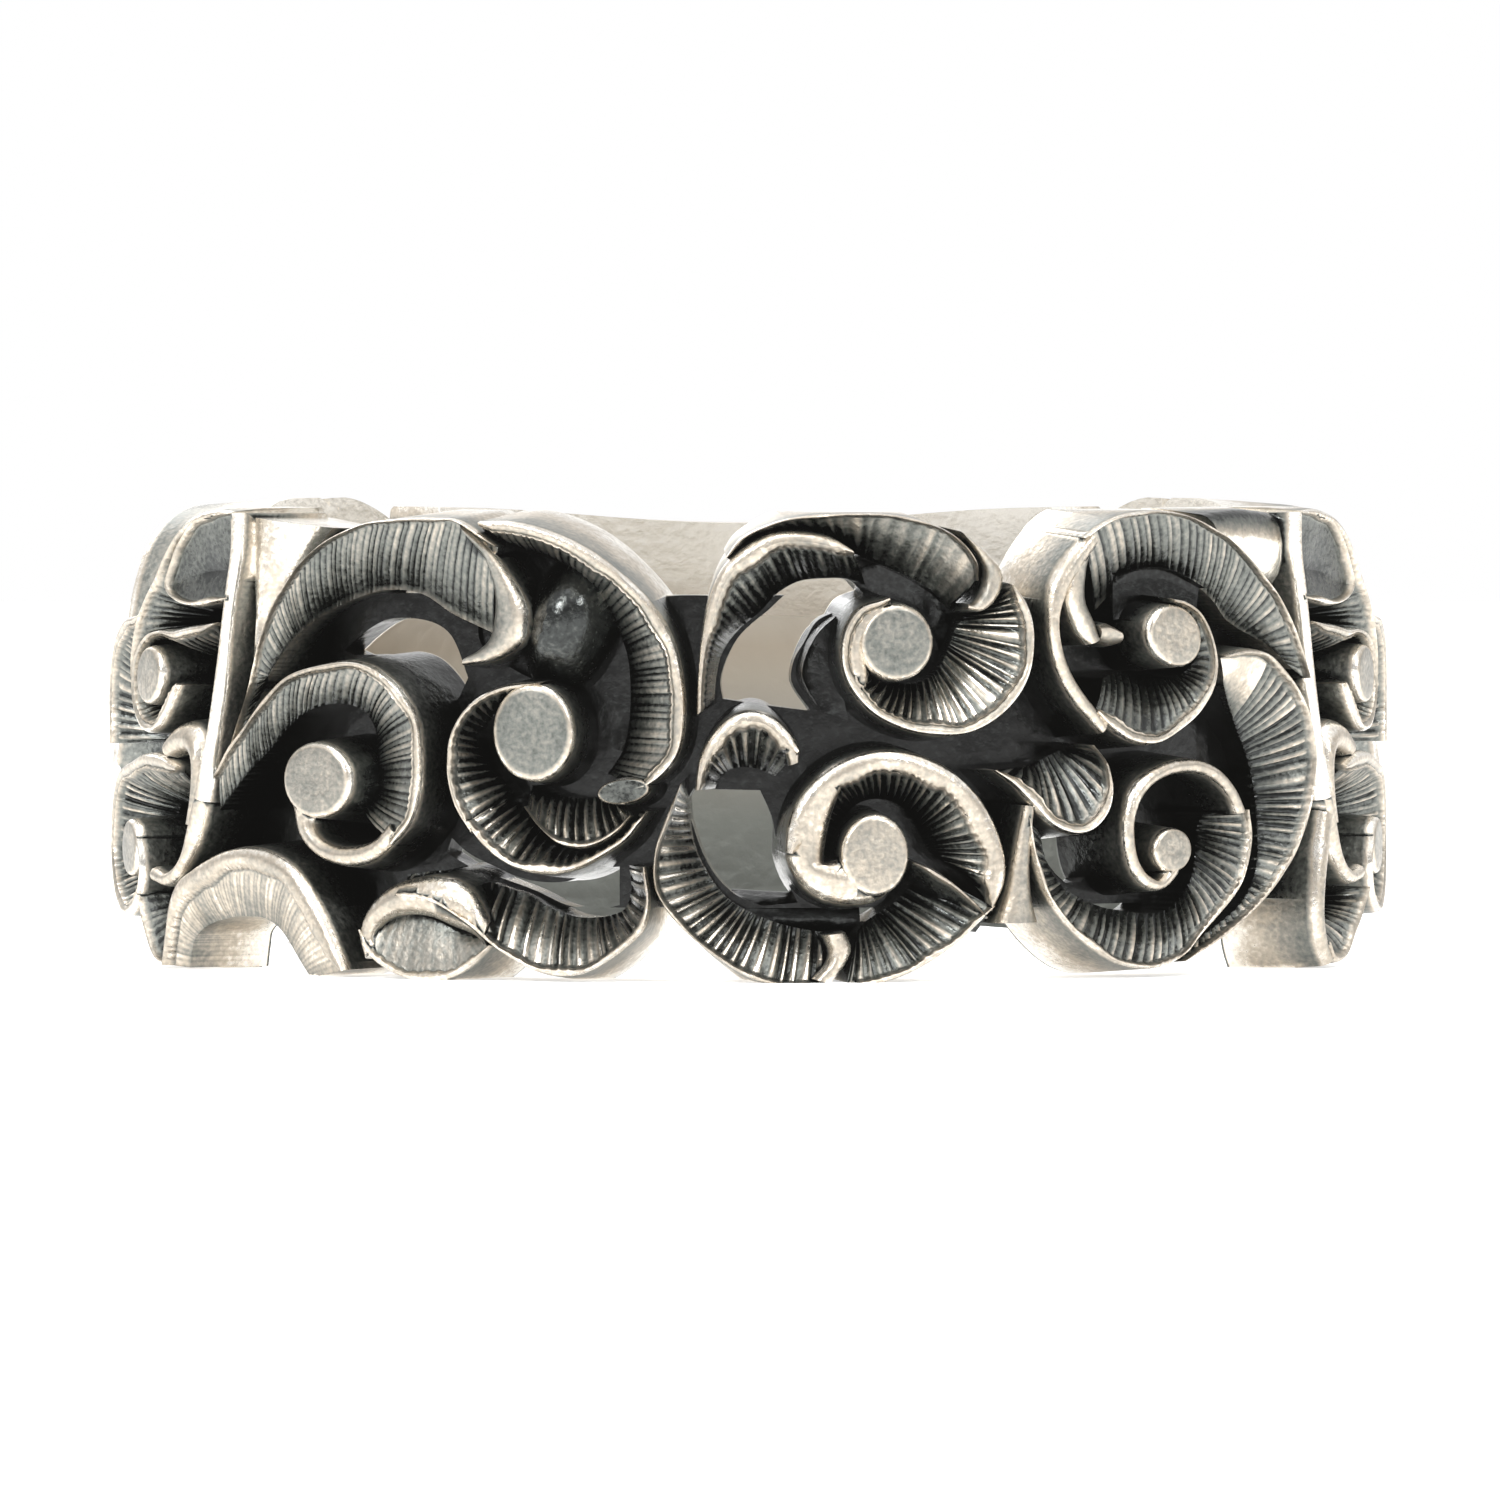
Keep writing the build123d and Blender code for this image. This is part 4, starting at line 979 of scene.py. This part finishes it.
band = addCylinder(floorRadius, ring["floorLow"], ring["floorHigh"], ring["floorSides"])
polishAll(band, "floorPolish", "floorShelter")
for whole, cutters in groups:
    for cutter in cutters:
        boolean(band, cutter, "DIFFERENCE")
boolean(band, makeShank(), "UNION")
for whole, cutters in groups:
    boolean(band, whole, "UNION")
blank = addCylinder(ring["outer"] + wall, 0, ring["width"], ring["blankSides"])
polishAll(blank, "blankPolish", "rimShelter")
boolean(band, blank, "INTERSECT")
finger = addCylinder(ring["bore"], -wall, ring["width"] + wall, ring["boreSides"])
polishAll(finger, "borePolish", "floorShelter")
boolean(band, finger, "DIFFERENCE")
band.name = "scroll_ring"
print("ring fused:", len(band.data.polygons), "faces")


def skyRays():
    rays = []
    for n in range(patina["rays"]):
        high = 1 - (n + 0.5) / patina["rays"]
        lean = math.sqrt(1 - high)
        around = n * math.pi * (3 - math.sqrt(5))
        rays.append(Vector((lean * math.cos(around), lean * math.sin(around), math.sqrt(high))))
    return rays


def openShare(shell, start, normal, rays):
    turn = normal.to_track_quat("Z", "Y")
    free = 0
    for ray in rays:
        if shell.ray_cast(start, turn @ ray, patina["reach"])[0] is None:
            free += 1 / patina["rays"]
    return free


# whether anything stands between a wall and the ring's nearer edge
def shutIn(shell, start, away, height):
    edge = Vector((0, 0, math.copysign(1, height - ring["width"] / 2)))
    spare = math.hypot(start.x, start.y) - ring["bore"] - patina["deeper"]
    return shell.ray_cast(start - away * min(patina["deeper"], spare), edge)[0] is not None


# the patina stays in the hollows: each point's polish is lessened by what stands round it
def wearIn(piece):
    mesh = piece.data
    shine, shelter = mesh.attributes["polish"], mesh.attributes["shelter"]
    known = [i for i, one in enumerate(shine.data) if one.value > 0]
    tree = kdtree.KDTree(len(known))
    for i in known:
        tree.insert(mesh.vertices[i].co, i)
    tree.balance()
    corners = [vertex.co for vertex in mesh.vertices]
    shell = bvhtree.BVHTree.FromPolygons(corners, [face.vertices for face in mesh.polygons])
    rays = skyRays()
    values = []
    for i, vertex in enumerate(mesh.vertices):
        away = Vector((vertex.co.x, vertex.co.y, 0)).normalized()
        source = i if shine.data[i].value > 0 else None
        if math.hypot(vertex.co.x, vertex.co.y) < ring["bore"] + patina["boreEdge"]:
            source = None
        elif source is None and vertex.normal.dot(away) > patina["facing"]:
            source = tree.find(vertex.co)[1]
        worth, needed = patina["wallPolish"], patina["wallShelter"]
        if source is not None:
            worth, needed = shine.data[source].value, shelter.data[source].value
        start = vertex.co + vertex.normal * patina["lift"] + away * patina["liftOut"]
        free = openShare(shell, start, vertex.normal, rays)
        clear = max(0, min(1, (free - needed) / patina["soft"]))
        if needed > (patina["slopeShelter"] + patina["wallShelter"]) / 2:
            if shutIn(shell, start, away, vertex.co.z):
                clear = 0
            elif abs(vertex.normal.z) > patina["level"]:
                clear = 1
        values.append(worth * clear)
    shine.data.foreach_set("value", values)
    mesh.attributes.remove(shelter)


wearIn(band)
deselect()
band.select_set(True)
bpy.context.view_layer.objects.active = band
bpy.ops.object.shade_smooth_by_angle(angle=math.radians(ring["smoothAngle"]))
print("patina worn in")


class Wire:
    # one output of a shader node; plain expressions with it add Math nodes
    def __init__(self, shader, node, output):
        self.shader = shader
        self.node = node
        self.socket = node.outputs[output]

    def other(self, output):
        return Wire(self.shader, self.node, output)

    def maths(self, operation, *inputs):
        return self.shader.node("Math", {"operation": operation}, dict(enumerate(inputs)))

    def __add__(self, other):
        return self.maths("ADD", self, other)

    def __radd__(self, other):
        return self.maths("ADD", other, self)

    def __sub__(self, other):
        return self.maths("SUBTRACT", self, other)

    def __rsub__(self, other):
        return self.maths("SUBTRACT", other, self)

    def __mul__(self, other):
        return self.maths("MULTIPLY", self, other)

    def __rmul__(self, other):
        return self.maths("MULTIPLY", other, self)

    def __truediv__(self, other):
        return self.maths("DIVIDE", self, other)

    def __rtruediv__(self, other):
        return self.maths("DIVIDE", other, self)

    def __pow__(self, other):
        return self.maths("POWER", self, other)

    def clamped(self):
        return self.shader.node("Clamp", {}, {"Value": self})


class Shader:
    def __init__(self, tree):
        self.tree = tree

    def node(self, kind, settings, inputs, output=0):
        made = self.tree.nodes.new("ShaderNode" + kind)
        for key, value in settings.items():
            if key == "stops":
                while len(made.color_ramp.elements) < len(value):
                    made.color_ramp.elements.new(0.5)
                for element, (at, colour) in zip(made.color_ramp.elements, value):
                    element.position = at
                    element.color = (*colour, 1)
            else:
                setattr(made, key, value)
        for key, value in inputs.items():
            self.feed(made.inputs[key], value)
        return Wire(self, made, output)

    def feed(self, socket, value):
        if isinstance(value, Wire):
            self.tree.links.new(value.socket, socket)
        else:
            socket.default_value = value

    def surface(self, **inputs):
        for key, value in inputs.items():
            self.feed(self.tree.nodes["Principled BSDF"].inputs[key.replace("_", " ")], value)


def newMaterial(name):
    material = bpy.data.materials.new(name)
    material.use_nodes = True
    return material, Shader(material.node_tree)


silver = {
    # from the patina to bare silver: how bright the polish is, colour
    "stops": [
        (0.0, (0.010, 0.010, 0.010)),
        (0.2, (0.042, 0.045, 0.044)),
        (0.42, (0.165, 0.172, 0.158)),
        (0.6, (0.300, 0.285, 0.252)),
        (0.78, (0.510, 0.450, 0.372)),
        (1.0, (0.900, 0.865, 0.800)),
    ],
    "grainScale": 12000,
    "grain": 0.75,
    "grainEnds": (0.3, 1.3),  # there is least grain where polish is none or full
    "lumpScale": 1500,
    "patches": 0.5,
    "scratchScale": 5200,
    "boreSkin": 0.00004,  # what lies this near the bore is its face
    "boreSharp": 50000,
    "boreShadeLow": 0.3,  # painted light: the bore's colour is shaded dark at the floor and lit bright at its upper edge, as light falls in from above
    "boreLitHigh": 1.0,
    "boreRise": 0.0066,
    "boreCurve": 1.5,
    "roughDark": 0.2,
    "roughMiddle": 0.44,
    "roughBright": 0.25,
    "middle": 0.55,
    "middleSharp": 9,
    "bump": 0.35,
    "bumpDepth": 0.00003,
    "lumpHeight": 5,  # against the scratches
    "coat": 0.26,
    "coatUpTo": 0.8,  # the polish at which the patina's gloss is gone
    "coatRough": 0.1,
    "paintedGlow": (0.006, 0.0059, 0.0055, 1),  # painted light: a faint glow over the whole ring that lifts its dark hollows, though no lamp is there
}


def silverMaterial():
    material, shader = newMaterial("wornSilver")
    where = shader.node("TexCoord", {}, {}, "Object")

    def noise(scale, detail):
        inputs = {"Vector": where, "Scale": scale, "Detail": detail}
        return shader.node("TexNoise", {}, inputs, "Fac")

    polish = shader.node("Attribute", {"attribute_name": "polish"}, {}, "Fac")
    apart = shader.node("SeparateXYZ", {}, {"Vector": where}, "X")
    radius = (apart * apart + apart.other("Y") * apart.other("Y")) ** 0.5
    bored = ((ring["bore"] + silver["boreSkin"] - radius) * silver["boreSharp"]).clamped()
    # painted light on the bore: its colour ramps from shaded at the floor to lit at the upper edge
    rise = (apart.other("Z") / silver["boreRise"]).clamped() ** silver["boreCurve"]
    paintedBoreLight = silver["boreShadeLow"] + rise * (silver["boreLitHigh"] - silver["boreShadeLow"])

    grain, lump = noise(silver["grainScale"], 6.0), noise(silver["lumpScale"], 2.0)
    low, high = silver["grainEnds"]
    grainy = (high - polish) * (low + polish) * silver["grain"]
    shine = (polish + (grain - 0.5) * grainy + (lump - 0.5) * polish * silver["patches"]).clamped()
    shine = shine * (1 - bored) + bored * paintedBoreLight
    colour = shader.node("ValToRGB", {"stops": silver["stops"]}, {"Fac": shine})

    off = shine - silver["middle"]
    middle = (1 - off * off * silver["middleSharp"]).clamped()
    edges = silver["roughDark"] + (silver["roughBright"] - silver["roughDark"]) * shine
    rough = edges + (silver["roughMiddle"] - edges) * middle
    height = noise(silver["scratchScale"], 3.0) + lump * silver["lumpHeight"] * (1 - shine)
    bump = shader.node(
        "Bump", {},
        {"Strength": silver["bump"], "Distance": silver["bumpDepth"], "Height": height},
        "Normal",
    )
    # the emission below is a painted glow on the silver, not a lamp
    shader.surface(
        Base_Color=colour, Metallic=1.0, Roughness=rough, Normal=bump,
        Coat_Weight=(silver["coatUpTo"] - shine).clamped() * silver["coat"],
        Coat_Roughness=silver["coatRough"],
        Emission_Color=silver["paintedGlow"], Emission_Strength=1.0,
    )
    return material


band.data.materials.clear()
band.data.materials.append(silverMaterial())
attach(band, "root")
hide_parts("ring_band")
print("silver laid on")

studio = {
    "floorSize": 0.6,
    "paper": (0.95, 0.95, 0.94),
    "paperGlow": 0.5,
}


def paperMaterial():
    material, shader = newMaterial("paper")
    shader.surface(
        Base_Color=(*studio["paper"], 1), Roughness=0.9,
        Emission_Color=(1, 1, 1, 1), Emission_Strength=studio["paperGlow"],
    )
    return material


deselect()
bpy.ops.mesh.primitive_plane_add(size=studio["floorSize"], location=(0, 0, 0))
paper = bpy.context.object
paper.name = "paper_floor"
paper.data.materials.append(paperMaterial())

lights = {
    "over": dict(at=(0, -0.03, 0.13), size=0.09, power=0.10),
    "left": dict(at=(-0.07, -0.10, 0.075), size=0.026, power=0.08),
    "right": dict(at=(0.075, -0.09, 0.07), size=0.022, power=0.05),
    "behind": dict(at=(-0.05, 0.11, 0.08), size=0.08, power=0.06),
}
for name, setting in lights.items():
    lamp = bpy.data.lights.new(name, "AREA")
    lamp.shape = "SQUARE"
    lamp.size = setting["size"]
    lamp.energy = setting["power"]
    holder = bpy.data.objects.new(name, lamp)
    bpy.context.collection.objects.link(holder)
    holder.location = setting["at"]
    holder.rotation_euler = (-Vector(setting["at"])).to_track_quat("-Z", "Y").to_euler()

# the room is bright behind the ring and overhead, and on the camera's side it is dimmer in
# a stripe above the horizon
room = {
    "front": 0.9,
    "stripe": 0.4,
    "stripeFrom": 0.1,
    "stripeFade": 0.08,
    "over": 1.3,
    "overFrom": 0.42,
    "overFade": 0.12,
    "behind": 1.05,
    "behindFrom": -0.6,
    "backdrop": 1.0,  # what the camera sees
}


def lightRoom():
    world = bpy.data.worlds.new("room")
    world.use_nodes = True
    shader = Shader(world.node_tree)
    where = shader.node("TexCoord", {}, {}, "Generated")
    apart = shader.node("SeparateXYZ", {}, {"Vector": where}, "X")
    behind = (apart.other("Y") - room["behindFrom"]).clamped()
    striped = ((apart.other("Z") - room["stripeFrom"]) / room["stripeFade"]).clamped()
    over = ((apart.other("Z") - room["overFrom"]) / room["overFade"]).clamped()
    front = room["front"] + striped * (room["stripe"] - room["front"])
    front = front + over * (room["over"] - room["stripe"])
    strength = front + behind * (room["behind"] - front)
    seen = shader.node("LightPath", {}, {}, "Is Camera Ray")
    strength = strength + seen * (room["backdrop"] - strength)
    background = world.node_tree.nodes["Background"]
    shader.feed(background.inputs["Strength"], strength)
    shader.feed(background.inputs["Color"], (1, 1, 1, 1))
    bpy.context.scene.world = world


lightRoom()
bpy.context.scene.view_settings.view_transform = "Standard"

view = {
    "distance": 0.33,
    "elevation": 1.6,
    "target": (0.0000685, 0, 0.00356),
    "frameWidth": 0.02568,  # at the target
}
camera = bpy.data.cameras.new("camera")
camera.sensor_width = 36
camera.lens = camera.sensor_width * view["distance"] / view["frameWidth"]
camera.clip_start = 0.01
camera.clip_end = 10
viewer = bpy.data.objects.new("camera", camera)
bpy.context.collection.objects.link(viewer)
lift = math.radians(view["elevation"])
target = Vector(view["target"])
viewer.location = target + view["distance"] * Vector((0, -math.cos(lift), math.sin(lift)))
viewer.rotation_euler = (target - viewer.location).to_track_quat("-Z", "Y").to_euler()
bpy.context.scene.camera = viewer

print("scene ready")
